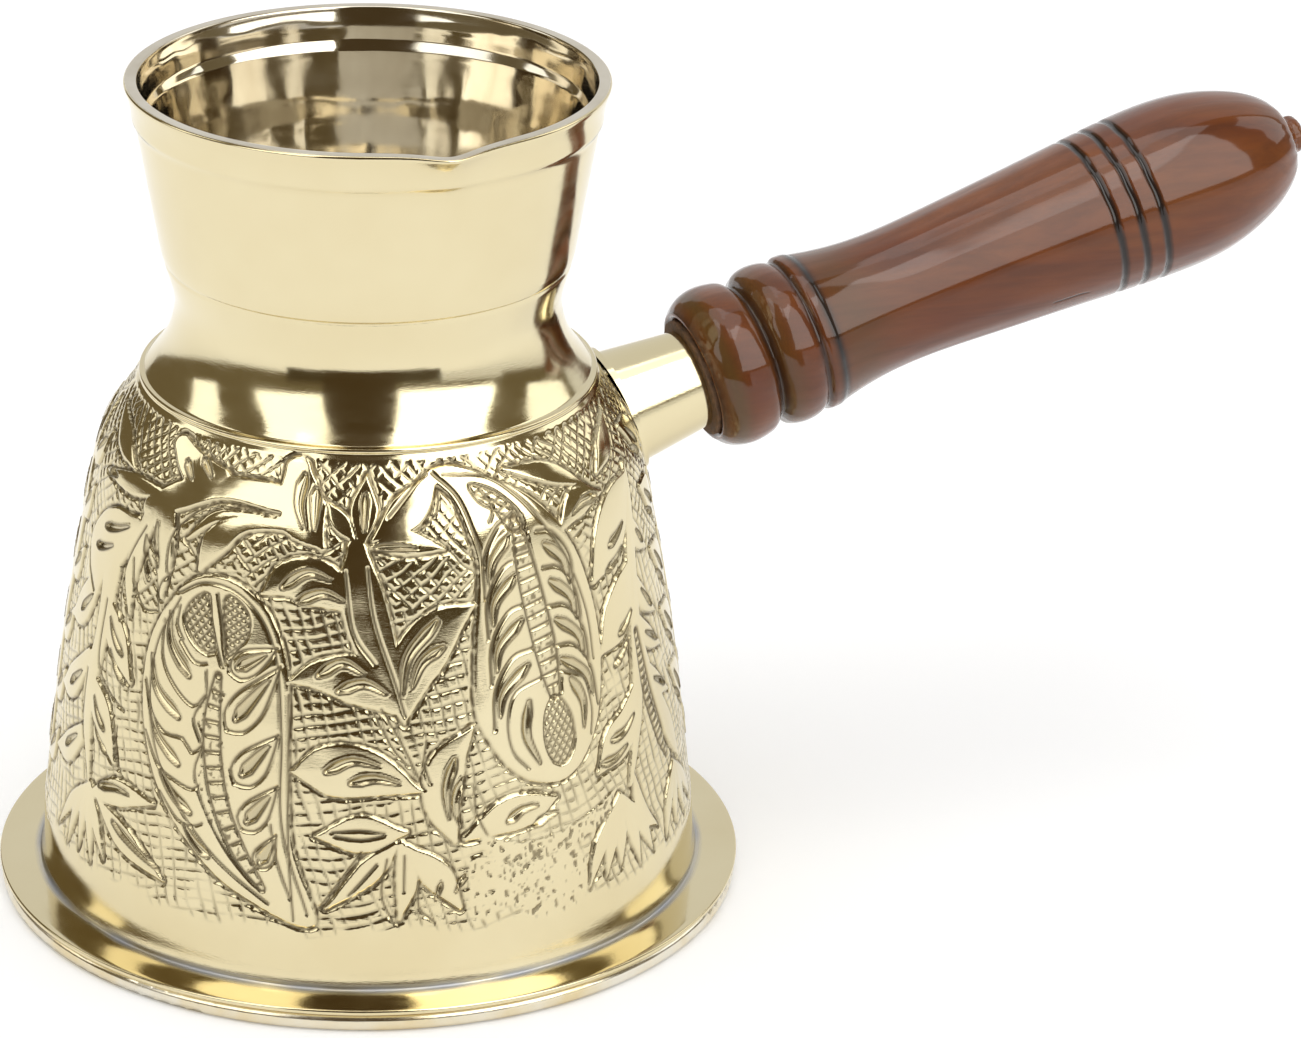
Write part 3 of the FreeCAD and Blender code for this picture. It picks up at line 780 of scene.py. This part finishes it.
def chase_right_branch(chasing):
    """The branch to the right of the drop-shaped leaf, under the handle."""
    chasing.leaves(
        (((23, 58.5), (30, 61.3), (38, 61)), (0.3, 2.1, 0.3)),
        (((31, 50), (37, 54), (43, 58), (50, 61)), (0.6, 3.6, 3.3, 0.4)),
        (((30.5, 40), (36, 43), (41, 47), (45, 50)), (0.5, 3.2, 2.6, 0.4)),
        (((26.5, 24), (31, 26.5), (36, 29), (40.5, 34)), (0.4, 2.9, 2.6, 0.3)),
        (((51, 62), (46, 52), (43, 42), (40, 31), (35, 20)), (0.5, 1.5, 1.5, 1.4, 0.4)),
        (((43, 42), (46, 32), (52, 23), (56, 17)), (0.3, 1.4, 1.8, 0.2)),
        (((36, 21), (38, 15), (43, 11.5)), (0.4, 1.4, 0.1)),
        (((39, 63.5), (46, 66), (54, 69.5)), (0.3, 1.6, 0.3)),
        (((13, 68.5), (24, 66.5), (34, 62.8)), (0.3, 1.6, 0.2)),
    )
    cut_all(
        chasing,
        gouges=(
            ((27, 60), (31, 61), (35.5, 61)), ((44, 55.5), (41, 54.5), (37, 53.6)),
            ((42, 52.5), (39, 51.2), (35.2, 50.4)),
            ((42, 43.5), (39.5, 42.2), (36.5, 41.2)), ((40, 40), (37.5, 38.6), (34.2, 37.3)),
            ((38, 29.6), (34.5, 28), (30.5, 27.6)), ((35, 26), (31, 25), (27.4, 25)),
        ),
    )
    chasing.ladder(((42.5, 40), (43.5, 32), (47, 24), (49.5, 20)), (0.5, 1.0, 1.0, 0.4))
    for base, tip in (
        ((45, 48), (53, 40)), ((44, 42), (53.5, 35)), ((45, 35), (54.5, 28)), ((47, 56), (54, 49)),
    ):
        middle = (base[0] + tip[0]) / 2 - 1.5, (base[1] + tip[1]) / 2 - 0.5
        chasing.leaf((base, middle, tip), (0.4, 1.7, 0.2))
        chasing.gouge(((base[0] + 2, base[1] - 3), (tip[0] - 2, tip[1] + 1.6)), 0.55)
    for tip in ((22, 8.6), (26.5, 9), (30.5, 9.3), (36, 8), (40.5, 8.6)):
        chasing.leaf(((31.5, 19.5), (31.5 + (tip[0] - 31.5) * 0.62, 14), tip), (0.4, 1.3, 0.1))
    for base, tip in (
        ((58, 66), (66, 59)), ((57, 57), (66, 50)), ((57, 48), (66, 40)),
        ((57, 39), (66, 31)), ((58, 30), (66, 22)),
    ):
        middle = (base[0] + tip[0]) / 2 + 1.5, (base[1] + tip[1]) / 2 + 1
        chasing.leaf((base, middle, tip), (0.5, 2.6, 0.3))
        chasing.gouge(((base[0] + 2, base[1] - 1), (tip[0] - 1.5, tip[1] + 3)), 0.55)
        chasing.gouge(((base[0] + 1.5, base[1] - 3.5), (tip[0] - 3, tip[1] + 1.5)), 0.55)
    for tip in ((46, 8.5), (51, 9), (56.5, 8.5), (62, 9)):
        chasing.leaf(((52, 18), (52 + (tip[0] - 52) * 0.6, 13.5), tip), (0.4, 1.2, 0.1))


def chase_gap(chasing):
    """Small leaves on a stem that fill the two places between the groups."""
    stem = -104
    chasing.leaf(((-107, 68), (-103, 52), (-105, 34), (-102, 12)), (0.3, 1.3, 1.3, 0.2))
    for low in (16, 25, 34, 43, 52, 60):
        for way in (-1, 1):
            spine = (stem, low), (stem + 4 * way, low + 1), (stem + 7.5 * way, low + 5)
            chasing.leaf(spine, (0.4, 1.9, 0.2))
            chasing.gouge(((stem + 2 * way, low + 0.6), (stem + 6 * way, low + 3.4)), 0.6)


def chased_cone(radius, slope):
    """The whole chased pattern. The front is repeated half a turn round, with leaves in between."""
    chasing = Chasing(radius, slope)
    cut_ground(chasing)
    for shift in (0.0, 180.0):
        chasing.shift = shift
        for motif in (
            chase_gap, chase_hood, chase_left_branch, chase_right_branch, chase_low_leaves, chase_great_leaf,
            chase_paisley, chase_bud,
        ):
            motif(chasing)
    chasing.finish()
    return chasing


# ================================================================ the pot
def pot_outline():
    """The shell's closed outline, its cone, the cone's rows, and the row where the inside begins."""
    corner = FLANGE_RADIUS - FLANGE_EDGE_ROUND
    foot = joined(
        straight(((BORE_RADIUS, FLANGE_UNDERSIDE), (corner, FLANGE_UNDERSIDE)), 2.5),
        arc((corner, FLANGE_UNDERSIDE + FLANGE_EDGE_ROUND), FLANGE_EDGE_ROUND, -90, 0, 4),
        arc((corner, FLANGE_TOP - FLANGE_EDGE_ROUND), FLANGE_EDGE_ROUND, 0, 90, 4),
        straight(((corner, FLANGE_TOP), (CONE[0][0] + COVE, FLANGE_TOP)), 0.7),
        arc((CONE[0][0] + COVE, FLANGE_TOP + COVE), COVE, 270, 180, 7),
    )
    cone = natural_spline(CONE, ROW_STEP)
    line = joined(cone[-1:], arc(RAISED_LINE, RAISED_LINE_RADIUS, -40, 115, 8), np.array(WAIST[:1]))
    rim = joined(
        natural_spline(BAND, 0.4),
        arc((LIP_OUTER, 114.65), 0.35, 0, 90, 5),
        straight(((LIP_OUTER, 115.0), (LIP_INNER, 115.0)), 0.5),
    )
    upper = joined(line, natural_spline(WAIST, 0.2), straight(NECK, 0.9), rim)
    inner_heights = np.linspace(POT_TOP - 0.4, 5.5, 60)
    inner_radius = np.minimum(outer_radius(inner_heights) - WALL + 0.1, BORE_RADIUS)
    inner_radius[0] = 30.75
    inner = np.stack([inner_radius, inner_heights], axis=1)
    start = len(joined(foot, cone[:1])) - 1
    inside_start = start + len(cone) + len(upper) - 1
    return joined(foot, cone, upper, inner), cone, slice(start, start + len(cone)), inside_start


def pot_body():
    """The brass shell: a turned outline with the chasing pressed into its cone."""
    outline, cone, rows, inside_start = pot_outline()
    slope = np.concatenate([[0], np.cumsum(np.hypot(*np.diff(cone, axis=0).T))])
    chasing = chased_cone(cone[:, 0], slope)
    turn = np.linspace(0, 360, COLUMNS, endpoint=False)[None, :]
    push = np.zeros((len(outline), COLUMNS))
    patina = np.zeros((len(outline), COLUMNS))
    beaten = 0.1 * soft_noise(turn, slope[:, None], 34, 8.0, 71)
    beaten += 0.035 * soft_noise(turn, slope[:, None], 90, 3.5, 72)
    fade = np.clip((slope - 3) / 6, 0, 1) * np.clip((slope[-1] - slope) / 1.5, 0, 1)
    push[rows] = chasing.height + beaten * fade[:, None]
    patina[rows] = chasing.patina
    height = outline[:, 1:]
    # painted grey reflection: a grey band, broken up by noise, in the corner where the cone meets the flange
    from_corner = np.hypot(outline[:, :1] - CONE[0][0] - 0.1, height - FLANGE_TOP - 0.2)
    painted_grey_reflection = np.exp(-((from_corner / 0.6) ** 4))
    painted_grey_reflection = painted_grey_reflection * np.clip(0.75 + 0.35 * soft_noise(turn, height, 60, 3.0, 74), 0, 1)
    above_chasing = (height > 74.7) & (np.arange(len(outline)) < inside_start)[:, None]
    spun = 0.02 * soft_noise(turn, height, 26, 9.0, 73) - 0.16 * np.exp(-(((height - CREASE) / 0.22) ** 2))
    push += np.where(above_chasing, spun, 0)
    across = normals(outline)
    grid = round_the_pot(outline[:, :1] + across[:, :1] * push, height + across[:, 1:] * push)
    piece = surface("chased_body", grid, loop=True, marks={"patina": patina, "painted_grey_reflection": painted_grey_reflection})
    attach(piece, "pot")
    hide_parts("pot_body")
    piece.data.materials.append(brass("chased_brass", "patina"))
    return piece


def lining():
    """The wiped tin: it covers the inside, the floor and the flat of the lip."""
    heights = np.linspace(POT_TOP - 0.8, 6.2, 190)
    wall = np.stack([outer_radius(heights) - WALL - TIN, heights], axis=1)
    corner = arc((wall[-1][0] - 2.2, 5.85), 2.2, 0, -90, 8)
    bottom = straight(((corner[-1][0], corner[-1][1]), (0.0, corner[-1][1])), 1.5)
    lip = joined(
        arc((31.8, 114.72), 0.31, 55, 90, 4),
        straight(((31.8, 115.03), (30.75, 115.03)), 0.35),
        arc((30.75, 114.68), 0.35, 90, 180, 6),
    )
    seen = joined(lip, wall, corner, bottom)
    back_heights = np.linspace(5.5, POT_TOP - 1.0, 30)
    back_wall = np.stack([outer_radius(back_heights) - WALL - 0.02, back_heights], axis=1)
    under_floor = np.array(((0.0, 3.42), (43.0, 3.42)))
    under_lip = np.array(((30.72, 114.85), (31.7, 114.9)))
    outline = joined(seen, under_floor, back_wall, under_lip)
    turn = np.linspace(0, 360, LINING_COLUMNS, endpoint=False)[None, :]
    height = outline[:, 1:]
    wave = 0.10 * soft_noise(turn, height, 24, 9.0, 81) + 0.03 * soft_noise(turn, height, 70, 4.0, 82)
    rings = 0.05 * np.sin(height / 1.9) + 0.03 * np.sin(height / 0.93 + 1)
    shown = np.zeros((len(outline), 1))
    shown[len(lip) + 2: len(seen) - 1] = 1
    drift = (wave + rings) * shown
    across = normals(outline[::-1])[::-1]
    radius = outline[:, :1] + across[:, :1] * drift
    level = height + across[:, 1:] * drift
    radius[np.abs(outline[:, 0]) < 1e-6] = 0
    piece = weld(surface("tinned_lining", round_the_pot(radius[::-1], level[::-1]), loop=True))
    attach(piece, "pot")
    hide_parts("tin_lining")
    piece.data.materials.append(tin())
    return piece


# ================================================================ the handle
def turned_handle():
    """The turned handle, bored for its stud, with burned-in lines, a little grain and a few drying cracks,
    painted shade in its grooves and a painted olive sheen on its beads.
    """
    front = straight(((3.0, 60.0), (3.0, 49.85), (8.75, 49.85), (8.85, 49.4), (9.3, 49.35)), 1.0)
    outline = joined(front, natural_spline(BEADS, 0.22), natural_spline(GRIP, 0.25), natural_spline(NUB, 0.2))
    radius, distance = outline[:, :1], outline[:, 1:]
    turn = np.linspace(0, 360, HANDLE_COLUMNS, endpoint=False)[None, :]
    outside = (np.arange(len(outline)) >= len(front))[:, None]
    burnt_and_painted_shade = np.zeros((len(outline), HANDLE_COLUMNS))
    push = 0.05 * soft_noise(turn, distance, 40, 30.0, 91) + 0.05 * soft_noise(turn, distance, 9, 12.0, 92)
    for place in BURNT_LINES:
        away = np.abs(distance - place - 0.08 * soft_noise(turn, distance * 0, 30, 5.0, int(place)))
        push = push - 0.3 * np.exp(-((away / 0.42) ** 4))
        burnt_and_painted_shade = np.maximum(burnt_and_painted_shade, np.exp(-((away / 0.62) ** 4)))
    # painted shade darkens the grooves and the gap at the washer
    for place, width, strength in PAINTED_SHADE_HOLLOWS:
        burnt_and_painted_shade = np.maximum(burnt_and_painted_shade, strength * np.exp(-(((distance - place) / width) ** 2)) + 0 * turn)
    # painted olive sheen on the fronts of the two beads and where the grip begins
    painted_olive_sheen = np.exp(-(((distance - 51.5) / 1.5) ** 2)) + 0.7 * np.exp(-(((distance - 59.5) / 2.2) ** 2))
    painted_olive_sheen = np.clip(painted_olive_sheen + 0.5 * np.exp(-(((distance - 71) / 4.5) ** 2)), 0, 1) + 0 * turn
    for middle, start, end, depth in CRACKS:
        drift = 1.2 * soft_noise(turn * 0, distance, 8, 2.0, middle)
        away = np.abs(turn - middle - drift) / 360 * 2 * np.pi * 10.2
        ends = np.clip((distance - start) / 0.6, 0, 1) * np.clip((end - distance) / 0.6, 0, 1)
        crack = np.exp(-((away / 0.13) ** 2)) * ends
        push = push - depth * crack
        burnt_and_painted_shade = np.maximum(burnt_and_painted_shade, crack)
    across = normals(outline)
    push = np.where(outside & (radius > 0.5), push, 0)
    grid = along_handle(radius + across[:, :1] * push, distance + across[:, 1:] * push)
    marks = {"burnt_and_painted_shade": burnt_and_painted_shade * outside, "painted_olive_sheen": painted_olive_sheen}
    closing = grid[:1].mean(axis=1, keepdims=True) + 0 * grid[:1]
    grid = np.concatenate([closing, grid])
    marks = {name: np.concatenate([values[:1], values]) for name, values in marks.items()}
    piece = weld(surface("turned_handle", grid, marks=marks))
    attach(piece, "handle")
    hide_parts("wooden_handle")
    piece.data.materials.append(lacquered_wood())
    return piece


def threaded_stud():
    """The steel stud, with its M6 thread cut as a real helix."""
    distance = np.arange(STUD_START, STUD_END, 0.11)[:, None]
    columns = 48
    turn = np.linspace(0, 1, columns, endpoint=False)[None, :]
    phase = (distance / STUD_PITCH - turn) % 1
    tooth = np.clip(1.15 - np.abs(phase - 0.5) * 2.6, 0, 1)
    radius = 2.4 + 0.54 * tooth
    chamfer = np.clip((distance - STUD_START) / 1.2, 0, 1) * np.clip((STUD_END - distance) / 3.0, 0.12, 1)
    radius = np.minimum(radius, 1.7 + 1.24 * chamfer)
    ends = np.zeros((1, columns))
    radius = np.concatenate([ends, radius, ends])
    distance = np.concatenate([distance[:1], distance, distance[-1:]]) + 0 * turn
    piece = weld(surface("threaded_stud", along_handle(radius, distance)))
    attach(piece, "handle")
    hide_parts("handle_stud")
    piece.data.materials.append(zinc_steel())
    return piece


def worn_washer():
    """The leather washer, rough and dark at its edge."""
    inner, outer = 3.3, 8.4
    near, far = 48.83, 49.78
    outline = joined(
        straight(((inner, near + 0.2), (inner, far - 0.1)), 0.3)[::-1],
        straight(((inner + 0.1, near), (outer - 0.25, near)), 0.5),
        arc((outer - 0.25, near + 0.25), 0.25, -90, 0, 4),
        arc((outer - 0.25, far - 0.25), 0.25, 0, 90, 4),
        straight(((outer - 0.3, far), (inner + 0.1, far)), 0.5),
    )
    turn = np.linspace(0, 360, 160, endpoint=False)[None, :]
    rough = 0.12 * soft_noise(turn, outline[:, 1:], 46, 0.6, 95) * (outline[:, :1] > outer - 0.6)
    radius = outline[:, :1] + rough
    piece = surface("worn_washer", along_handle(radius, outline[:, 1:] + 0 * turn), loop=True)
    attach(piece, "washer")
    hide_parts("leather_washer")
    piece.data.materials.append(dark_leather())
    return piece


# ================================================================ materials
def new_material(name):
    material = bpy.data.materials.new(name)
    material.use_nodes = True
    tree = material.node_tree
    shader = tree.nodes["Principled BSDF"]
    return material, tree, shader


def place_node(tree, scale=(1, 1, 1), rotation=(0, 0, 0)):
    """Object coordinates, scaled and turned."""
    coordinates = tree.nodes.new("ShaderNodeTexCoord")
    mapping = tree.nodes.new("ShaderNodeMapping")
    mapping.inputs["Scale"].default_value = scale
    mapping.inputs["Rotation"].default_value = rotation
    tree.links.new(coordinates.outputs["Object"], mapping.inputs["Vector"])
    return mapping.outputs["Vector"]


def noise(tree, vector, scale, detail=3.0, roughness=0.5, distortion=0.0):
    node = tree.nodes.new("ShaderNodeTexNoise")
    node.inputs["Scale"].default_value = scale
    node.inputs["Detail"].default_value = detail
    node.inputs["Roughness"].default_value = roughness
    node.inputs["Distortion"].default_value = distortion
    tree.links.new(vector, node.inputs["Vector"])
    return node.outputs["Fac"]


def ramp(tree, value, stops):
    """A colour ramp. Each stop is a place and a grey level or a colour."""
    node = tree.nodes.new("ShaderNodeValToRGB")
    points = node.color_ramp.elements
    while len(points) < len(stops):
        points.new(0.5)
    for point, (place, colour) in zip(points, stops):
        point.position = place
        point.color = (colour, colour, colour, 1) if isinstance(colour, (int, float)) else (*colour, 1)
    tree.links.new(value, node.inputs["Fac"])
    return node.outputs["Color"]


def blended(tree, share, first, second, kind="MIX"):
    node = tree.nodes.new("ShaderNodeMix")
    node.data_type = "RGBA"
    node.blend_type = kind
    sockets = {socket.identifier: socket for socket in node.inputs}
    for value, key in ((share, "Factor_Float"), (first, "A_Color"), (second, "B_Color")):
        if isinstance(value, bpy.types.NodeSocket):
            tree.links.new(value, sockets[key])
        else:
            sockets[key].default_value = value if key == "Factor_Float" else (*value, 1)
    return next(socket for socket in node.outputs if socket.identifier == "Result_Color")


def attribute(tree, name):
    node = tree.nodes.new("ShaderNodeAttribute")
    node.attribute_name = name
    return node.outputs["Fac"]


def bump(tree, shader, height, strength, distance):
    node = tree.nodes.new("ShaderNodeBump")
    node.inputs["Strength"].default_value = strength
    node.inputs["Distance"].default_value = distance
    tree.links.new(height, node.inputs["Height"])
    tree.links.new(node.outputs["Normal"], shader.inputs["Normal"])


def connect(tree, shader, colour, rough, metallic):
    """Gives the shader its colour, its roughness and its share of metal."""
    tree.links.new(colour, shader.inputs["Base Color"])
    tree.links.new(rough, shader.inputs["Roughness"])
    shader.inputs["Metallic"].default_value = metallic


def brass(name, mark=None):
    """Polished brass with faint clouds and fine scratches. A mark adds patina and a painted grey reflection at
    the foot, in the corner where the cone meets the flange.
    """
    material, tree, shader = new_material(name)
    tone = noise(tree, place_node(tree), 38, 3, 0.6)
    colour = ramp(tree, tone, ((0.3, (0.72, 0.62, 0.385)), (0.7, (0.77, 0.68, 0.445))))
    rough = ramp(tree, noise(tree, place_node(tree, (1, 1, 4)), 160, 4, 0.65), ((0.3, 0.07), (0.75, 0.17)))
    if mark:
        dark = attribute(tree, mark)
        colour = blended(tree, dark, colour, (0.10, 0.07, 0.035))
        rough = blended(tree, dark, rough, (0.45, 0.45, 0.45))
        # painted grey reflection in the corner at the foot of the cone, made rougher there too
        painted_grey_reflection = attribute(tree, "painted_grey_reflection")
        colour = blended(tree, painted_grey_reflection, colour, (0.42, 0.43, 0.46))
        rough = blended(tree, painted_grey_reflection, rough, (0.5, 0.5, 0.5))
    connect(tree, shader, colour, rough, 1.0)
    scratches = noise(tree, place_node(tree, (1, 1, 7)), 900, 2, 0.6)
    bump(tree, shader, scratches, 0.12, 0.00005)
    return material


def tin():
    """Bright wiped tin, slightly streaked."""
    material, tree, shader = new_material("wiped_tin")
    tone = noise(tree, place_node(tree, (1, 1, 0.35)), 55, 4, 0.6)
    colour = ramp(tree, tone, ((0.25, (0.56, 0.49, 0.37)), (0.7, (0.80, 0.75, 0.63))))
    rough = ramp(tree, noise(tree, place_node(tree, (1, 1, 2)), 120, 3, 0.6), ((0.3, 0.05), (0.8, 0.16)))
    connect(tree, shader, colour, rough, 1.0)
    bump(tree, shader, noise(tree, place_node(tree, (1, 1, 0.5)), 260, 3), 0.1, 0.0001)
    return material


def base_brass():
    """The base plate's brass, paler where tin has run over its edge."""
    material, tree, shader = new_material("tinned_base_brass")
    tone = noise(tree, place_node(tree), 60, 4, 0.65)
    colour = ramp(tree, tone, ((0.35, (0.74, 0.62, 0.38)), (0.6, (0.80, 0.76, 0.66))))
    rough = ramp(tree, noise(tree, place_node(tree), 200, 3), ((0.3, 0.14), (0.8, 0.3)))
    connect(tree, shader, colour, rough, 1.0)
    bump(tree, shader, noise(tree, place_node(tree, (1, 1, 5)), 500, 3), 0.15, 0.0001)
    return material


def grey_solder():
    material, tree, shader = new_material("dull_solder")
    shader.inputs["Metallic"].default_value = 0.8
    shader.inputs["Roughness"].default_value = 0.5
    tone = noise(tree, place_node(tree), 220, 4, 0.6)
    colour = ramp(tree, tone, ((0.3, (0.06, 0.045, 0.03)), (0.7, (0.22, 0.18, 0.13))))
    tree.links.new(colour, shader.inputs["Base Color"])
    bump(tree, shader, noise(tree, place_node(tree), 700, 3), 0.4, 0.0001)
    return material


def lacquered_wood():
    """Red-brown stained wood under glossy lacquer, with grain along the handle, a painted olive sheen on the
    beads and painted shade in the grooves.
    """
    material, tree, shader = new_material("lacquered_wood")
    lean = math.asin(HANDLE_AXIS.z)
    along = place_node(tree, (0.1, 1, 1), (0, lean, 0))
    grain = noise(tree, along, 420, 5, 0.65, 0.4)
    bands = noise(tree, place_node(tree, (0.35, 1, 1), (0, lean, 0)), 75, 3, 0.55, 0.6)
    dark, middling, pale = (0.105, 0.019, 0.002), (0.155, 0.036, 0.004), (0.22, 0.062, 0.007)
    base = ramp(tree, bands, ((0.25, dark), (0.5, middling), (0.8, pale)))
    fine = ramp(tree, grain, ((0.35, 0.74), (0.6, 1.0)))
    colour = blended(tree, 1.0, base, fine, "MULTIPLY")
    # painted olive sheen on the beads
    colour = blended(tree, attribute(tree, "painted_olive_sheen"), colour, (0.10, 0.045, 0.008))
    # burnt lines and dark cracks, with painted shade in the grooves
    colour = blended(tree, attribute(tree, "burnt_and_painted_shade"), colour, (0.012, 0.006, 0.004))
    connect(tree, shader, colour, ramp(tree, grain, ((0.3, 0.5), (0.8, 0.32))), 0.0)
    shader.inputs["Coat Weight"].default_value = 1.0
    shader.inputs["Coat Roughness"].default_value = 0.08
    shader.inputs["Coat IOR"].default_value = 1.45
    shader.inputs["Specular IOR Level"].default_value = 0.1
    bump(tree, shader, grain, 0.12, 0.0001)
    return material


def dark_leather():
    material, tree, shader = new_material("worn_leather")
    fibre = noise(tree, place_node(tree), 900, 5, 0.7)
    colour = ramp(tree, fibre, ((0.3, (0.05, 0.024, 0.010)), (0.75, (0.20, 0.10, 0.045))))
    connect(tree, shader, colour, ramp(tree, fibre, ((0.2, 0.6), (0.8, 0.9))), 0.0)
    bump(tree, shader, fibre, 0.6, 0.0003)
    return material


def zinc_steel():
    material, tree, shader = new_material("zinc_plated_steel")
    spangle = noise(tree, place_node(tree), 320, 4, 0.6)
    colour = ramp(tree, spangle, ((0.3, (0.36, 0.35, 0.32)), (0.7, (0.62, 0.61, 0.58))))
    connect(tree, shader, colour, ramp(tree, spangle, ((0.3, 0.25), (0.8, 0.42))), 1.0)
    bump(tree, shader, noise(tree, place_node(tree), 900, 3), 0.15, 0.0001)
    return material


def dress(node, material):
    slots = nodes[node].data.materials
    slots.clear()
    slots.append(material)


# ================================================================ the room
def glowing(name, colour, strength):
    """A material that only gives off light."""
    material, tree, _ = new_material(name)
    tree.nodes.clear()
    glow = tree.nodes.new("ShaderNodeEmission")
    glow.inputs["Color"].default_value = (*colour, 1)
    glow.inputs["Strength"].default_value = strength
    out = tree.nodes.new("ShaderNodeOutputMaterial")
    tree.links.new(glow.outputs["Emission"], out.inputs["Surface"])
    return material


def direction(side, rise):
    """The way out from the pot, at radians from the pouring lip towards -X and radians up."""
    return Vector((-math.sin(side) * math.cos(rise), -math.cos(side) * math.cos(rise), math.sin(rise)))


def reflected(name, sides, heights, distance, colour, strength):
    """A glowing patch of the room that only shows in reflections.

    Sides are degrees to the right of the camera, and heights degrees above the horizon, as seen from the pot.
    """
    steps = 24
    places = []
    for rise in np.radians(np.linspace(heights[0], heights[1], steps + 1)):
        for side in np.radians(VIEW_TURN - np.linspace(sides[0], sides[1], steps + 1)):
            places.append(direction(side, rise) * distance + Vector((0, 0, ROOM_CENTRE)))
    faces = []
    for row in range(steps):
        for column in range(steps):
            first = row * (steps + 1) + column
            faces.append((first, first + 1, first + steps + 2, first + steps + 1))
    mesh = bpy.data.meshes.new(name)
    mesh.from_pydata(places, [], faces)
    piece = put_in_scene(name, mesh)
    piece.data.materials.append(glowing(name, colour, strength))
    piece.visible_camera = False
    piece.visible_diffuse = False
    piece.visible_shadow = False


def floor():
    """A wide pale floor that glows faintly, so that it stays white right up to the shadow."""
    reach = 4.0
    corners = ((-reach, -reach, 0), (reach, -reach, 0), (reach, reach, 0), (-reach, reach, 0))
    mesh = bpy.data.meshes.new("floor")
    mesh.from_pydata(corners, [], [(0, 1, 2, 3)])
    piece = put_in_scene("floor", mesh)
    paint, _, shader = new_material("pale_floor")
    shader.inputs["Base Color"].default_value = (0.94, 0.94, 0.94, 1)
    shader.inputs["Roughness"].default_value = 0.9
    shader.inputs["Emission Color"].default_value = (1, 1, 1, 1)
    shader.inputs["Emission Strength"].default_value = 0.13
    piece.data.materials.append(paint)


def world():
    scene = bpy.context.scene
    scene.world = bpy.data.worlds.new("studio")
    scene.world.use_nodes = True
    background = scene.world.node_tree.nodes["Background"]
    background.inputs["Color"].default_value = (1.0, 1.0, 1.0, 1)
    background.inputs["Strength"].default_value = 0.8


def area_light(name, azimuth, elevation, distance, size, power):
    lamp = bpy.data.lights.new(name, "AREA")
    lamp.shape = "RECTANGLE"
    lamp.size, lamp.size_y = size
    lamp.energy = power
    piece = put_in_scene(name, lamp)
    toward = direction(math.radians(azimuth + VIEW_TURN), math.radians(elevation))
    piece.location = toward * distance + Vector((0, 0, ROOM_CENTRE))
    piece.rotation_euler = toward.to_track_quat("Z", "Y").to_euler()


def camera():
    lens = bpy.data.cameras.new("camera")
    lens.sensor_width = 36.0
    lens.lens = LENS
    lens.clip_start = 0.01
    eye = put_in_scene("camera", lens)
    yaw, pitch, roll = (math.radians(angle) for angle in (CAMERA_YAW, CAMERA_PITCH, CAMERA_ROLL))
    forward = Vector((math.sin(yaw) * math.cos(pitch), math.cos(yaw) * math.cos(pitch), -math.sin(pitch)))
    right = Vector((math.cos(yaw), -math.sin(yaw), 0))
    up = right.cross(forward)
    tilted_right = right * math.cos(roll) + up * math.sin(roll)
    tilted_up = up * math.cos(roll) - right * math.sin(roll)
    turned = Matrix((tilted_right, tilted_up, -forward)).transposed().to_4x4()
    eye.matrix_world = Matrix.Translation(CAMERA_PLACE) @ turned
    bpy.context.scene.camera = eye


camera()
floor()
world()
for name, sides, heights, distance, colour, strength in ROOM:
    reflected(name, sides, heights, distance, colour, strength)
area_light("soft_top", 10, 80, 1.4, (1.2, 1.2), 7)

pot_body()
lining()
turned_handle()
threaded_stud()
worn_washer()
plain_brass = brass("polished_brass")
for node in ("handle_socket", "socket_braze", "socket_bush"):
    dress(node, plain_brass)
dress("base_plate", base_brass())
dress("base_solder", grey_solder())

bpy.context.scene.view_settings.view_transform = "Standard"
